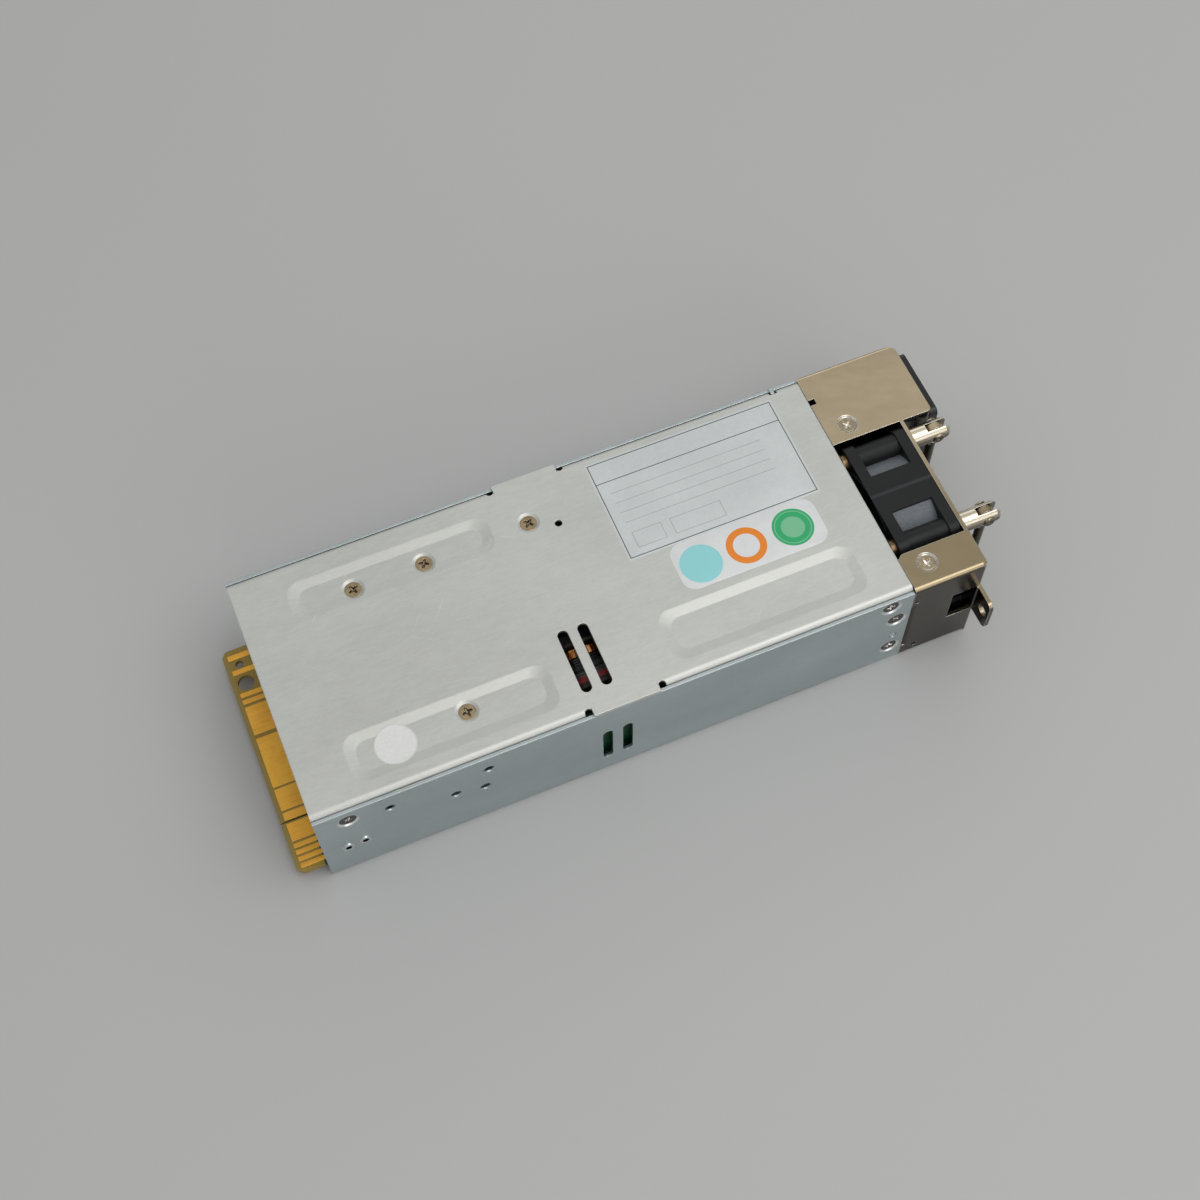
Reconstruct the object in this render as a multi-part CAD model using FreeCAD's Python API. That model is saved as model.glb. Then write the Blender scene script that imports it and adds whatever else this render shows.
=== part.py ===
"""Hot swap server power supply: sheet metal body, nickel front bracket with fan and AC inlet,
folding bail handle, and a card edge at the rear that plugs into the server.

Frame: millimetres, +X towards the handle, +Y away from the fixing ear, +Z up,
origin in the middle of the chassis' bottom face.
"""
import FreeCAD
import Part

import math
import os

# ---- body -------------------------------------------------------------------------------------
body_length = 182.5
body_width = 81.0
fan_size = 40.0             # the body is as high as its fan, with a little room
fan_headroom = 0.4
chassis_gauge = 1.0
cover_gauge = 1.0
bend = 1.5                  # middle radius of every sheet bend
sheet_fit = 0.05            # gap between sheets that slide into one another
rim_drop = 1.0              # side walls end this far below the cover's face
hook_place = 82.85          # small hook of the far wall that lies in a notch of the cover
hook_width = 1.2
hook_reach = 2.4            # in from the far side
hook_drop = 0.3             # below the cover's face
hook_gauge = 1.0
hook_room = 0.7             # between the hook and the notch's sides
cover_flange = 8.8          # depth of the cover's turned-down edges
tab_start = -8.5            # flat tab of the cover that rests on the wall
tab_end = 11.6
tab_drop = 0.05             # gap under the flat tab
relief_width = 2.2          # round-ended notches beside the tab
relief_inset = 2.8
tongue_length = 13.0        # joggled tongues of the cover under the bracket's flanges
tongue_width = 9.0
tongue_inset = 2.2          # near tongue, in from the near wall's inside
tongue_room = 0.3           # far tongue, from the inlet box's own side wall
joggle = 1.6

# ---- embossed panels and slots of the cover ---------------------------------------------------
emboss_depth = 0.6
emboss_slope = 3.0
emboss_corner = 4.5
far_emboss_span = (-75.9, -13.8)        # along the body
far_emboss_inset = (20.9, 8.1)          # in from the far side
near_emboss_span = (-76.4, -15.1)
near_emboss_inset = (6.2, 21.2)         # in from the near side
front_emboss_span = (18.9, 80.4)
front_emboss_inset = (6.1, 22.6)
cover_slot_places = (-7.3, -1.2)
cover_slot_width = 3.2
cover_slot_inset = (7.5, 28.2)          # in from the near side
cover_pinhole = (5.4, 19.5)             # along the body, in from the far side
pinhole_width = 2.2
dimple_width = 6.8
dimple_depth = 0.3
seat_width = 6.4            # dish cut round the side and bracket screws
seat_depth = 0.3

# ---- fasteners --------------------------------------------------------------------------------
screw_shank = 3.0
screw_head = 5.4
screw_length = 5.0
screw_play = 0.2            # radial room round a shank
pan_head = 5.6
nut_width = 5.6
nut_thickness = 1.6
pan_height = 1.8
recess_width = 0.6
recess_reach = 3.0
recess_depth = 0.7
rivet_hole = 3.0
rivet_head = 4.0
rivet_rise = 0.4

far_screw_places = ((-57.4, 16.4), (-35.6, 16.3), (-2.7, 15.9))    # x, in from the far side
near_screw_places = ((-40.6, 15.4),)                                # x, in from the near side
cover_side_screw_inset = (9.5, 7.1)     # from the rear end, from the front end
cover_side_screw_depth = (6.8, 4.8)     # below the top face
tab_screw_heights = (26.5, 9.2)
tab_screw_inset = 4.3
locating_hole = (4.05, 16.4)
locating_width = 2.6
stud_play = 0.15            # round the stud that stands in the locating hole
stud_height = 0.95

# ---- side walls -------------------------------------------------------------------------------
wall_slot_places = (-4.7, 1.5)
wall_slot_width = 3.1
wall_slot_low = 8.8
wall_slot_high = 26.3
extruded_holes = ((-69.7, 31.4), (-51.0, 23.4), (-40.5, 31.8), (-42.3, 21.0))
extruded_width = 2.9
extruded_roll = 0.45        # the outer rim rolls inwards
extruded_rim = 0.6
extruded_depth = 0.7
grille_rivets_inset = ((7.15, 16.3), (12.25, 17.0))

# ---- rear grille ------------------------------------------------------------------------------
grille_gauge = 0.8
grille_tab = 15.0
grille_over_board = 1.4
grille_top_gap = 0.1
hex_width = 5.0
hex_pitch = 6.0
grille_border = 3.5

# ---- front bracket ----------------------------------------------------------------------------
bracket_gauge = 1.2
bracket_bend = 0.2          # inside radius of its long bends
bracket_gap = 0.15          # seam between the body and the bracket
fan_gap = 2.35              # body front to the back of the fan
fan_offset = -7.0           # the fan sits nearer the ear side
fan_room = 0.7              # from the fan to the near flange
fan_far_room = 0.8          # from the fan to the inlet box
inlet_step = 9.7            # the inlet box stands out past the fan panel
bracket_tab = 13.0
bracket_tab_low = 6.0
bracket_tab_gap = 0.4
bracket_joggle = 0.3        # the tab starts to step out this far past the body
joggle_room = 0.5
clipped_corner = 2.3
corner_radius = 1.2
rear_corner = 1.5           # plan radius of the inlet box where it meets the body
flange_corner = 2.4
flange_notch = 2.0
notch_place = 30.3
bracket_screw_inset = 7.3
near_flange_screw = 7.6     # in from the near wall
far_flange_screw = 5.3      # in from the inlet box's own side wall
ear_reach = 8.0
ear_low = 14.8
ear_high = 27.8
ear_hole = 3.8
ear_hole_inset = 3.0
ear_corner = 2.0
ear_bend = 0.9
window_length = 8.0
window_room = 0.3
grille_margin = 1.1         # from the outermost air slot to the fan's bore
grille_web = 1.1
grille_hub = 4.0
grille_rings = 4
grille_spoke = 1.7
lamp_width = 3.0
lamp_play = 0.1
lamp_inset = 6.3            # in from the near side
lamp_height = 10.0

# ---- fan --------------------------------------------------------------------------------------
fan_depth = 20.0
fan_wall = 1.2              # least wall round the bore
fan_flange = 3.4
fan_corner = 3.2
fan_hole_inset = 4.0
fan_drum_wall = 1.1
fan_flare = 0.9
fan_band = 13.2             # flat middle of each side, flush with the flanges
fan_hole = 3.3
strut_count = 4
strut_width = 1.8
strut_depth = 2.2
motor_base = 19.0
motor_base_depth = 2.4
motor_tube = 6.0
motor_tube_wall = 0.7
bearing_length = 2.2
bearing_play = 0.05
shaft_width = 2.0
hub_width = 18.8
hub_wall = 0.8
hub_setback = 1.6
hub_gap = 0.7
magnet_wall = 0.8
stator_gap = 0.5
stator_length = 8.0
pole_count = 4
blade_count = 7
blade_tip_gap = 0.5
blade_root_thickness = 1.17
blade_thickness = 0.9
blade_root_chord = 12.0
blade_tip_chord = 13.0
blade_root_angle = 34.0
blade_tip_angle = 54.0
blade_camber = 1.5
blade_tip_camber = 1.2

# ---- handle -----------------------------------------------------------------------------------
post_width = 6.4
post_length = 12.9
post_slot = 2.7
post_slot_depth = 7.4
post_nose = 1.4             # rounding of the post's outer end
pivot_inset = 4.2
handle_rod = 2.8
handle_reach = 27.0
handle_bend = 4.5
eye_thickness = 2.3
eye_width = 5.8
eye_neck = 6.0
eye_overlap = 1.2           # of the round rod into the eye's neck
rivet_shank = 2.5
rivet_clearance = 0.1
pivot_head = 3.9
pivot_head_height = 0.6
spot_face = 0.3
panel_screw_length = 8.0

# ---- AC inlet ---------------------------------------------------------------------------------
inlet_flange_height = 31.0
inlet_flange_width = 24.0
inlet_flange_depth = 3.8
inlet_flange_corner = 2.0
inlet_body_height = 27.6
inlet_body_width = 20.0
inlet_body_depth = 20.5
cutout_room = 0.15
socket_height = 24.6
socket_width = 16.6
socket_clip = 4.2
socket_depth = 17.0
pin_setback = 4.4
pin_width = 2.0
pin_breadth = 4.0
line_pin_pitch = 14.0
line_pin_offset = -2.0
earth_pin_offset = 2.0
terminal_length = 9.5
terminal_gauge = 0.8
terminal_breadth = 6.3
latch_rise = 1.0
latch_length = 3.0

# ---- circuit board and card edge --------------------------------------------------------------
board_side_gap = 1.3        # from the board to the walls
board_gauge = 1.6
board_top = 5.0
board_overhang = 9.05       # card edge past the rear of the body
board_setback = 2.0
board_clip = 1.6
board_bevel = 0.5
bevel_length = 1.4
contact_gauge = 0.06
contact_setback = 0.1       # from the bevel
contact_inset = 1.0         # contacts end this far inside the rear wall
key_hole = (32.6, 2.6)
guide_hole = (25.9, 5.1)
guide_setback = 4.4
slit_place = -21.7
slit_width = 0.5
power_contacts = ((34.6, 36.4), (29.4, 31.1), (21.4, 22.9), (19.0, 20.5), (8.2, 18.0), (-10.1, 6.9))
sense_contacts = ((-18.0, -10.8), (-21.3, -18.7), (-28.2, -22.4))
finger_start = -29.0
finger_pitch = 2.15
finger_width = 1.4
finger_count = 4
standoff_width = 5.5
stud_width = 4.2
stud_play = 0.05
standoff_inset = 7.0        # from the body's ends
standoff_edge = 3.9         # from the board's long edges
middle_standoffs = ((16.0, -1), (9.0, 1))       # along the body, and which side
insulator_gauge = 0.4
insulator_inset = 3.0

# ---- parts on the board -----------------------------------------------------------------------
sink_web = 3.0
sink_cap = 4.0
sink_width = 9.6
sink_fin = 1.2
sink_fins = 4
sink_relief = 0.4
far_sink_inset = 14.5       # middle of the web, in from the far side
near_sink_inset = 13.9
sink_start = 15.5           # from the rear end
far_sink_end = 2.0
near_sink_end = -17.0
input_sink_gap = 1.8        # from the large capacitor
input_sink_start = 67.0     # from the front end
input_sink_end = 15.5
input_sink_room = 3.4       # under the cover
sink_foot = 2.0
transistor_size = (10.2, 4.4, 15.5)
transistor_tab = (1.3, 5.0)             # thickness, rise above the body
transistor_pitch = 16.0
transistor_lift = 4.2
lead_width = 0.9
lead_pitch = 2.54
bridge_size = (20.0, 3.6, 17.0)
bridge_inset = 3.0          # from the heat sink's end
transformer_place = (-2.0, 19.0)        # along the body, in from the near side
core_length = 26.0
core_breadth = 25.0
core_depth = 18.0
core_back = 5.0
core_side_leg = 4.5
core_centre_leg = 7.0
core_lift = 7.0
core_joint = 0.05
bobbin_wall = 0.8
winding_wall = 3.9
winding_gap = 0.2
tape_gauge = 0.3
tape_bands = ((-5.1, 2.6), (-0.9, 1.6), (3.9, 2.2))     # place from the middle, width
control_board = (-14.0, 12.0, 28.0)     # start, end, height above the main board
control_board_gauge = 1.2
control_board_inset = 3.9   # from the near side
inner_chip = (3.0, 6.0, 1.1, 4.0, 5.0)  # from the board's end, length, rise, below its top, height
outer_chips = ((15.0, 7.0, 1.0, 10.0, 5.0), (8.0, 4.0, 0.9, 5.0, 3.0))
bulk_room = 3.5             # over the large capacitor
bulk_length = 50.0
bulk_start = 67.3           # from the front end
bulk_side_gap = 3.5         # from the near wall
cradle_width = 20.0
cradle_height = 3.0
cradle_length = 38.0
output_can_width = 8.0
output_can_height = 20.0
output_can_inset = 8.5
output_can_places = (-24.0, -12.0, 0.0, 12.0, 24.0)
toroid_gap = 0.1
choke_wire = 1.5
choke_gap_width = 5.0       # bare stretch of the core between a winding's ends
output_choke_place = (38.0, 0.0)        # from the rear end, from the middle
output_choke_core = (7.0, 11.0, 9.0)    # inner radius, outer radius, height
pfc_choke_room = 2.6        # from the box capacitor in front of it
pfc_choke_gaps = (3.6, 4.4)             # from the far wall, from the rectifier
pfc_choke_bore = 0.57       # share of the outer radius
pfc_choke_height = 12.0
line_choke_inset = 25.5     # from the front end
line_choke_gap = 4.0        # from the far wall
line_choke_bore = 0.556
line_choke_height = 9.0
suppressor_length = 9.0
suppressor_height = 18.0
suppressor_insets = (34.0, 8.7)         # from the front end
suppressor_gaps = (4.0, 9.0)            # from the far wall
fuse_width = 5.2
fuse_length = 20.0
fuse_inset = 24.0           # from the front end
fuse_gap = 1.4              # from the rectifier
fuse_room = 2.2             # from the pieces beside it
fuse_cap = 5.0
fuse_clip = (3.2, 3.0)      # breadth, length
fuse_lift = 0.6
header_size = (5.0, 7.5, 5.5)
header_inset = 6.6          # from the front end
header_room = 2.75          # to the box capacitor beside it
inlet_wire = 1.8
inlet_wire_bend = 4.0
inlet_wire_inset = 3.1      # where the wires land, from the front end
inlet_wire_start = 2.5      # straight run out of each tab
inlet_wire_shifts = (-5.15, 0.0, 1.35)  # sideways, from each pin: upper line, lower line, earth
fan_wires = 3
fan_wire = 1.2
fan_wire_bend = 1.6
fan_wire_pitch = 1.5
fan_wire_offset = 8.5       # first lead, from the fan's middle
fan_wire_lift = 0.95        # above the fan's lower face
fan_wire_play = 0.15
fan_wire_standoff = 1.3     # where the leads rise, behind the fan
fan_wire_rise = 3.0         # over the header

# ---- places worked out from the sizes above ---------------------------------------------------
body_height = fan_size + fan_headroom
front = body_length / 2
rear = -front
side = body_width / 2
wall_inside = side - chassis_gauge
cover_under = body_height - cover_gauge
cover_skirt = body_height - cover_flange
flange_outside = wall_inside - sheet_fit
flange_inside = flange_outside - cover_gauge
wall_top = body_height - rim_drop
board_bottom = board_top - board_gauge
board_width = 2 * (wall_inside - board_side_gap)
bracket_back = front + bracket_gap
fan_back = front + fan_gap
panel_back = fan_back + fan_depth
panel_front = panel_back + bracket_gauge
box_front = panel_front + inlet_step
box_back = box_front - bracket_gauge
fan_height = body_height / 2
fan_bore = fan_size - 2 * fan_wall
fan_pitch = fan_size - 2 * fan_hole_inset
slot_reach = fan_bore / 2 - grille_margin - grille_hub - (grille_rings - 1) * grille_web
grille_ring_width = slot_reach / grille_rings
fan_near = fan_offset - fan_size / 2
near_flange_edge = fan_near - fan_room
box_side = fan_offset + fan_size / 2 + fan_far_room
inlet_offset = (box_side + side) / 2
inlet_height = body_height / 2
inlet_face = box_front + inlet_flange_depth
post_end = panel_front + post_length
pivot_x = post_end - pivot_inset
pivot_z = fan_height + fan_pitch / 2
post_places = (fan_offset - fan_pitch / 2, fan_offset + fan_pitch / 2)
emboss_under = cover_under - emboss_depth
far_emboss = far_emboss_span + tuple(side - inset for inset in far_emboss_inset)
near_emboss = near_emboss_span + tuple(inset - side for inset in near_emboss_inset)
front_emboss = front_emboss_span + tuple(inset - side for inset in front_emboss_inset)
cover_screw_places = [(x, side - inset) for x, inset in far_screw_places]
cover_screw_places += [(x, inset - side) for x, inset in near_screw_places]
far_sink_offset = side - far_sink_inset
near_sink_offset = near_sink_inset - side
transformer_centre = (transformer_place[0], transformer_place[1] - side)
control_board_offset = control_board_inset - side
bulk_low = board_top + cradle_height * 0.3
bulk_width = cover_under - bulk_room - bulk_low
bulk_offset = bulk_side_gap + bulk_width / 2 - wall_inside
input_sink_offset = bulk_offset + bulk_width / 2 + input_sink_gap + sink_width / 2
bridge_face = input_sink_offset + sink_web / 2
bridge_far = bridge_face + bridge_size[1]
fuse_offset = bridge_far + fuse_gap + fuse_width / 2
fuse_far = fuse_offset + fuse_width / 2 + fuse_room
shank = screw_shank / 2
shank_hole = shank + screw_play

ALONG = FreeCAD.Vector(1, 0, 0)
ACROSS = FreeCAD.Vector(0, 1, 0)
UP = FreeCAD.Vector(0, 0, 1)
ZERO = FreeCAD.Vector(0, 0, 0)


# ---- drawing helpers --------------------------------------------------------------------------
def point(x, y, z=0.0):
    return FreeCAD.Vector(x, y, z)


def block(x0, x1, y0, y1, z0, z1):
    """Straight block between two corners."""
    return Part.makeBox(x1 - x0, y1 - y0, z1 - z0, point(x0, y0, z0))


def edge_loop(starts, edges):
    """Flat face bounded by edges, with straight lines wherever two of them don't meet."""
    loop = []
    for (_, last), edge, (following, _) in zip(starts, edges, starts[1:] + starts[:1]):
        if edge is not None:
            loop.append(edge)
        if last.distanceToPoint(following) > 1e-6:
            loop.append(Part.makeLine(last, following))
    return Part.Face(Part.Wire(loop))


def outline(points, radius=0.0):
    """Flat face with these corners, each rounded by the radius (or by its own radius in a list)."""
    corners = [point(u, v) for u, v in points]
    radii = radius if isinstance(radius, (list, tuple)) else [radius] * len(corners)
    spans = []
    arcs = []
    for place, corner in enumerate(corners):
        if radii[place] <= 0:
            spans.append((corner, corner))
            arcs.append(None)
            continue
        following = corners[(place + 1) % len(corners)]
        first, last, arc = corner_arc(corners[place - 1], corner, following, radii[place])
        spans.append((first, last))
        arcs.append(arc)
    return edge_loop(spans, arcs)


def corner_arc(before, corner, after, radius):
    """Start, end and arc of a corner between two straight runs, rounded by a radius."""
    back = (before - corner).normalize()
    ahead = (after - corner).normalize()
    half = back.getAngle(ahead) / 2
    reach = radius / math.tan(half)
    centre = corner + (back + ahead).normalize() * (radius / math.sin(half))
    middle = centre + (corner - centre).normalize() * radius
    first = corner + back * reach
    last = corner + ahead * reach
    return first, last, Part.Arc(first, middle, last).toShape()


def rectangle(u0, u1, v0, v1, radius=0.0):
    return outline([(u0, v0), (u1, v0), (u1, v1), (u0, v1)], radius)


def disc(u, v, radius):
    return Part.Face(Part.Wire(Part.makeCircle(radius, point(u, v))))


def ring(u, v, inner, outer):
    return disc(u, v, outer).cut(disc(u, v, inner))


def obround(u0, u1, v0, v1):
    """Slot with round ends between these limits."""
    return rectangle(u0, u1, v0, v1, min(u1 - u0, v1 - v0) / 2)


def hexagon(u, v, across):
    reach = across / math.sqrt(3)
    turns = [math.radians(60 * step + 30) for step in range(6)]
    return outline([(u + reach * math.cos(turn), v + reach * math.sin(turn)) for turn in turns])


def bent_sheet(line, gauge, radius=bend):
    """Section of a sheet whose middle follows a broken line, every bend rounded by one radius."""
    corners = [point(u, v) for u, v in line]
    rails = []
    for offset in (gauge / 2, -gauge / 2):
        rails.append(sheet_rail(corners, offset, radius))
    outer, inner = rails
    ends = [Part.makeLine(outer[-1].lastVertex().Point, inner[-1].lastVertex().Point),
            Part.makeLine(inner[0].firstVertex().Point, outer[0].firstVertex().Point)]
    return Part.Face(Part.Wire(Part.__sortEdges__(outer + inner + ends)))


def sheet_rail(corners, offset, radius):
    """Edges of one side of a bent sheet, at an offset to the left of its middle line."""
    edges = []
    heading = (corners[1] - corners[0]).normalize()
    here = corners[0] + left_of(heading) * offset
    for place in range(1, len(corners) - 1):
        turned = (corners[place + 1] - corners[place]).normalize()
        turn = math.atan2(heading.x * turned.y - heading.y * turned.x, heading.dot(turned))
        reach = radius * math.tan(abs(turn) / 2)
        start = corners[place] - heading * reach
        centre = start + left_of(heading) * math.copysign(radius, turn)
        first = start + left_of(heading) * offset
        last = corners[place] + turned * reach + left_of(turned) * offset
        middle = centre + (corners[place] - centre).normalize() * first.distanceToPoint(centre)
        edges.append(Part.LineSegment(here, first).toShape())
        edges.append(Part.Arc(first, middle, last).toShape())
        here = last
        heading = turned
    edges.append(Part.LineSegment(here, corners[-1] + left_of(heading) * offset).toShape())
    return edges


def left_of(direction):
    return point(-direction.y, direction.x)


def prism(face, low, high, lie="xy"):
    """Face drawn in the named plane, pulled from low to high along the third axis."""
    lift = -high if lie == "xz" else low
    drawn = face.copy()
    drawn.translate(point(0, 0, lift))
    solid = drawn.extrude(point(0, 0, high - low))
    if lie == "xz":
        solid.rotate(ZERO, ALONG, 90)
    if lie == "yz":
        solid.rotate(ZERO, point(1, 1, 1), 120)
    return solid


def placed(shape, at, axis=UP):
    """Shape made at the origin along +Z, set down with its Z along the axis."""
    moved = shape.copy()
    moved.Placement = FreeCAD.Placement(at, FreeCAD.Rotation(UP, axis))
    return moved


def turned(profile, at=ZERO, axis=UP):
    """Round solid: the profile lists (radius, height) up the axis and closes on itself."""
    corners = [point(radius, 0, height) for radius, height in profile]
    section = Part.Face(Part.makePolygon(corners + corners[:1]))
    return placed(section.revolve(ZERO, UP, 360), at, axis)


def rod(radius, low, high, at=ZERO, axis=UP):
    return turned([(0, low), (radius, low), (radius, high), (0, high)], at, axis)


def tube(inner, outer, low, high, at=ZERO, axis=UP):
    return turned([(inner, low), (outer, low), (outer, high), (inner, high)], at, axis)


def wire(points, thickness, radius):
    """Round wire along straight runs whose corners are rounded by one radius."""
    solids = []
    here = points[0]
    for before, corner, after in zip(points, points[1:], points[2:]):
        first, last, arc = corner_arc(before, corner, after, radius)
        solids.append(run(here, first, thickness))
        section = Part.Face(Part.Wire(Part.makeCircle(thickness / 2, first, corner - before)))
        sweep = math.degrees(arc.LastParameter - arc.FirstParameter)
        solids.append(section.revolve(arc.Curve.Center, arc.Curve.Axis, sweep))
        here = last
    solids.append(run(here, points[-1], thickness))
    return whole(solids[0].fuse(solids[1:]))


def run(start, end, thickness):
    """Straight round bar between two points."""
    return rod(thickness / 2, 0, start.distanceToPoint(end), start, end - start)


def mirrored(shape):
    """The same shape on the other side of the body's middle plane."""
    return shape.mirror(ZERO, ACROSS)


def whole(shape):
    """One clean solid from a shape that was joined or cut."""
    return shape.removeSplitter().Solids[0]


def group(shapes):
    return Part.makeCompound(shapes)


# ---- fasteners --------------------------------------------------------------------------------
def cross_recess(top):
    """Cross-shaped driver recess at the top of a screw head."""
    half = recess_width / 2
    reach = recess_reach / 2
    arm = block(-reach, reach, -half, half, top - recess_depth, top + 1)
    return arm.fuse(block(-half, half, -reach, reach, top - recess_depth, top + 1))


def flat_screw(at, axis, gauge, length=screw_length):
    """Countersunk screw, its head as deep as the sheet it holds; at is the middle of its top."""
    wide = screw_head / 2
    profile = [(0, 0), (wide, 0), (shank, -gauge), (shank, -length), (0, -length)]
    return placed(turned(profile).cut(cross_recess(0)), at, axis)


def pan_screw(at, axis, length):
    """Pan-head screw; at is the middle of the seat under its head."""
    wide = pan_head / 2
    edge = pan_height * 0.45
    profile = [(0, -length), (shank, -length), (shank, 0), (wide, 0),
               (wide, edge), (wide * 0.72, pan_height), (0, pan_height)]
    return placed(turned(profile).cut(cross_recess(pan_height)), at, axis)


def countersink(at, axis, gauge):
    """Cut for a countersunk screw in a sheet of this gauge."""
    wide = screw_head / 2
    profile = [(0, 1), (wide, 1), (wide, 0), (shank, -gauge), (shank_hole, -gauge),
               (shank_hole, -gauge - 1), (0, -gauge - 1)]
    return turned(profile, at, axis)


def dished_hole(seat, axis, gauge, width, depth):
    """Dish round a countersunk screw whose top lies at seat, and its hole through the sheet."""
    inner = screw_head / 2 + 0.1
    dish = turned([(0, 0), (inner, 0), (width / 2, depth), (width / 2, 1 + depth), (0, 1 + depth)],
                  seat, axis)
    return dish.fuse(countersink(seat, axis, gauge))


def sunk_hole(seat, axis, gauge):
    """Hole for a side or bracket screw, which lies in a dish in a sheet of this gauge."""
    return dished_hole(seat, axis, gauge - seat_depth, seat_width, seat_depth)


def sunk_screw(seat, axis, gauge, length):
    return flat_screw(seat, axis, gauge - seat_depth, length)


def cover_screw_seat(x, y):
    """Middle of a cover screw's top, in its dimple, lower where the cover is embossed."""
    sunk = any(x0 < x < x1 and y0 < y < y1 for x0, x1, y0, y1 in (far_emboss, near_emboss))
    return point(x, y, body_height - dimple_depth - (emboss_depth if sunk else 0))


def wall_screws():
    """(x, z) of the countersunk screws in each side wall: two for the cover, two for the bracket."""
    places = [(rear + cover_side_screw_inset[0], body_height - cover_side_screw_depth[0]),
              (front - cover_side_screw_inset[1], body_height - cover_side_screw_depth[1])]
    places += [(front - tab_screw_inset, height) for height in tab_screw_heights]
    return places


def side_screw_seats():
    """Middles of the tops of the near wall's screws, each sunk in its dish."""
    return [point(x, seat_depth - side, z) for x, z in wall_screws()]


def both_sides(maker):
    """A thing made for the near side, and its mirror image."""
    near = maker()
    return [near, mirrored(near)]


# ---- body -------------------------------------------------------------------------------------
def chassis_base():
    """Bottom and both side walls, bent from one sheet."""
    middle = side - chassis_gauge / 2
    floor = chassis_gauge / 2
    line = [(-middle, wall_top), (-middle, floor), (middle, floor), (middle, wall_top)]
    channel = prism(bent_sheet(line, chassis_gauge), rear, front, "yz")
    cuts = []
    for wall in both_sides(side_wall_cuts):
        cuts.append(wall)
    cuts += near_wall_slots()
    cuts += [rod(stud_width / 2 + stud_play, -1, chassis_gauge + 1, point(x, y)) for x, y in standoffs()]
    added = [hook()]
    for wall in both_sides(extruded_rims):
        added.append(wall)
    return whole(channel.fuse(added).cut(cuts))


def hook():
    """Small hook at the top of the far wall, bent in over the cover's edge."""
    top = body_height - hook_drop
    face = rectangle(side - hook_reach, side, top - hook_gauge, top, [0, 0, hook_gauge * 0.6, 0])
    return prism(face, hook_place - hook_width / 2, hook_place + hook_width / 2, "yz")


def hook_notch():
    """Notch in the cover's far bend that the hook lies in."""
    reach = hook_width / 2 + hook_room
    return block(hook_place - reach, hook_place + reach, side - hook_reach - hook_room / 2, side + 1,
                 body_height - hook_gauge - bend - 1, body_height + 1)


def side_wall_cuts():
    """Cuts through the near side wall: tab notch, screws, rivets and extruded holes."""
    outward = point(0, -1, 0)
    notch = block(tab_start - 0.3, tab_end + 0.3, -side - 1, -flange_inside + 1,
                  cover_under - tab_drop, body_height)
    cuts = [notch]
    cuts += [sunk_hole(seat, outward, chassis_gauge) for seat in side_screw_seats()]
    for inset, z in grille_rivets_inset:
        cuts.append(wall_hole(rear + inset, z, rivet_hole))
    cuts.append(wall_hole(front - locating_hole[0], locating_hole[1], locating_width))
    for x, z in extruded_holes:
        cuts.append(extruded_hole(x, z))
    return group(cuts)


def wall_hole(x, z, width):
    return rod(width / 2, -1, chassis_gauge + extruded_depth + 1, point(x, -side, z), ACROSS)


def extruded_hole(x, z):
    """Cut for a hole whose outer rim rolls inwards in two steps."""
    bore = extruded_width / 2
    deep = chassis_gauge + extruded_depth + 1
    step = extruded_roll * 0.3
    profile = [(0, -1), (bore + extruded_roll, -1), (bore + extruded_roll, 0), (bore + step, step),
               (bore, extruded_roll), (bore, deep), (0, deep)]
    return turned(profile, point(x, -side, z), ACROSS)


def near_wall_slots():
    """The two upright cooling slots in the ear-side wall."""
    slots = []
    for x in wall_slot_places:
        face = obround(x - wall_slot_width / 2, x + wall_slot_width / 2, wall_slot_low, wall_slot_high)
        slots.append(prism(face, -side - 1, -wall_inside + 1, "xz"))
    return slots


def extruded_rims():
    """Collars pressed inwards round the small holes in the near side wall."""
    outer = extruded_width / 2 + extruded_rim
    return group([rod(outer, 0, extruded_depth, point(x, -wall_inside, z), ACROSS)
                  for x, z in extruded_holes if z + outer < cover_skirt])


def tray(limits, top):
    """Shallow pan shape of an emboss: a rounded rectangle that slopes in towards its floor."""
    x0, x1, y0, y1 = limits
    mouth = rectangle(x0, x1, y0, y1, emboss_corner).OuterWire
    inner = rectangle(x0 + emboss_slope, x1 - emboss_slope, y0 + emboss_slope, y1 - emboss_slope,
                      emboss_corner - 1).OuterWire
    mouth.translate(point(0, 0, top))
    inner.translate(point(0, 0, top - emboss_depth))
    return Part.makeLoft([mouth, inner], True, True)


def top_cover():
    """Cover whose long edges tuck inside the walls, with embosses, dimples, slots and tongues."""
    middle = flange_outside - cover_gauge / 2
    top = body_height - cover_gauge / 2
    line = [(-middle, cover_skirt), (-middle, top), (middle, top), (middle, cover_skirt)]
    sheet = prism(bent_sheet(line, cover_gauge), rear, front, "yz")
    for gone in both_sides(tab_reliefs) + both_sides(grille_corner):
        sheet = sheet.cut(gone)
    embosses = (far_emboss, near_emboss, front_emboss)
    added = [tray(limits, cover_under) for limits in embosses]
    added += [dimple(cover_screw_seat(x, y), cover_gauge - dimple_depth) for x, y in cover_screw_places]
    added += both_sides(rest_tab)
    added += [tongue(tongue_inset - wall_inside), tongue(box_side + bracket_gauge + tongue_room)]
    cuts = [tray(limits, body_height) for limits in embosses]
    cuts += [dimple_cut(cover_screw_seat(x, y)) for x, y in cover_screw_places]
    cuts += cover_slots()
    cuts += both_sides(skirt_holes) + [hook_notch()]
    cuts += [rod(shank, -cover_gauge * 3, 1, at) for at in bracket_screw_seats()]
    return whole(sheet.fuse(added).cut(cuts))


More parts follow.
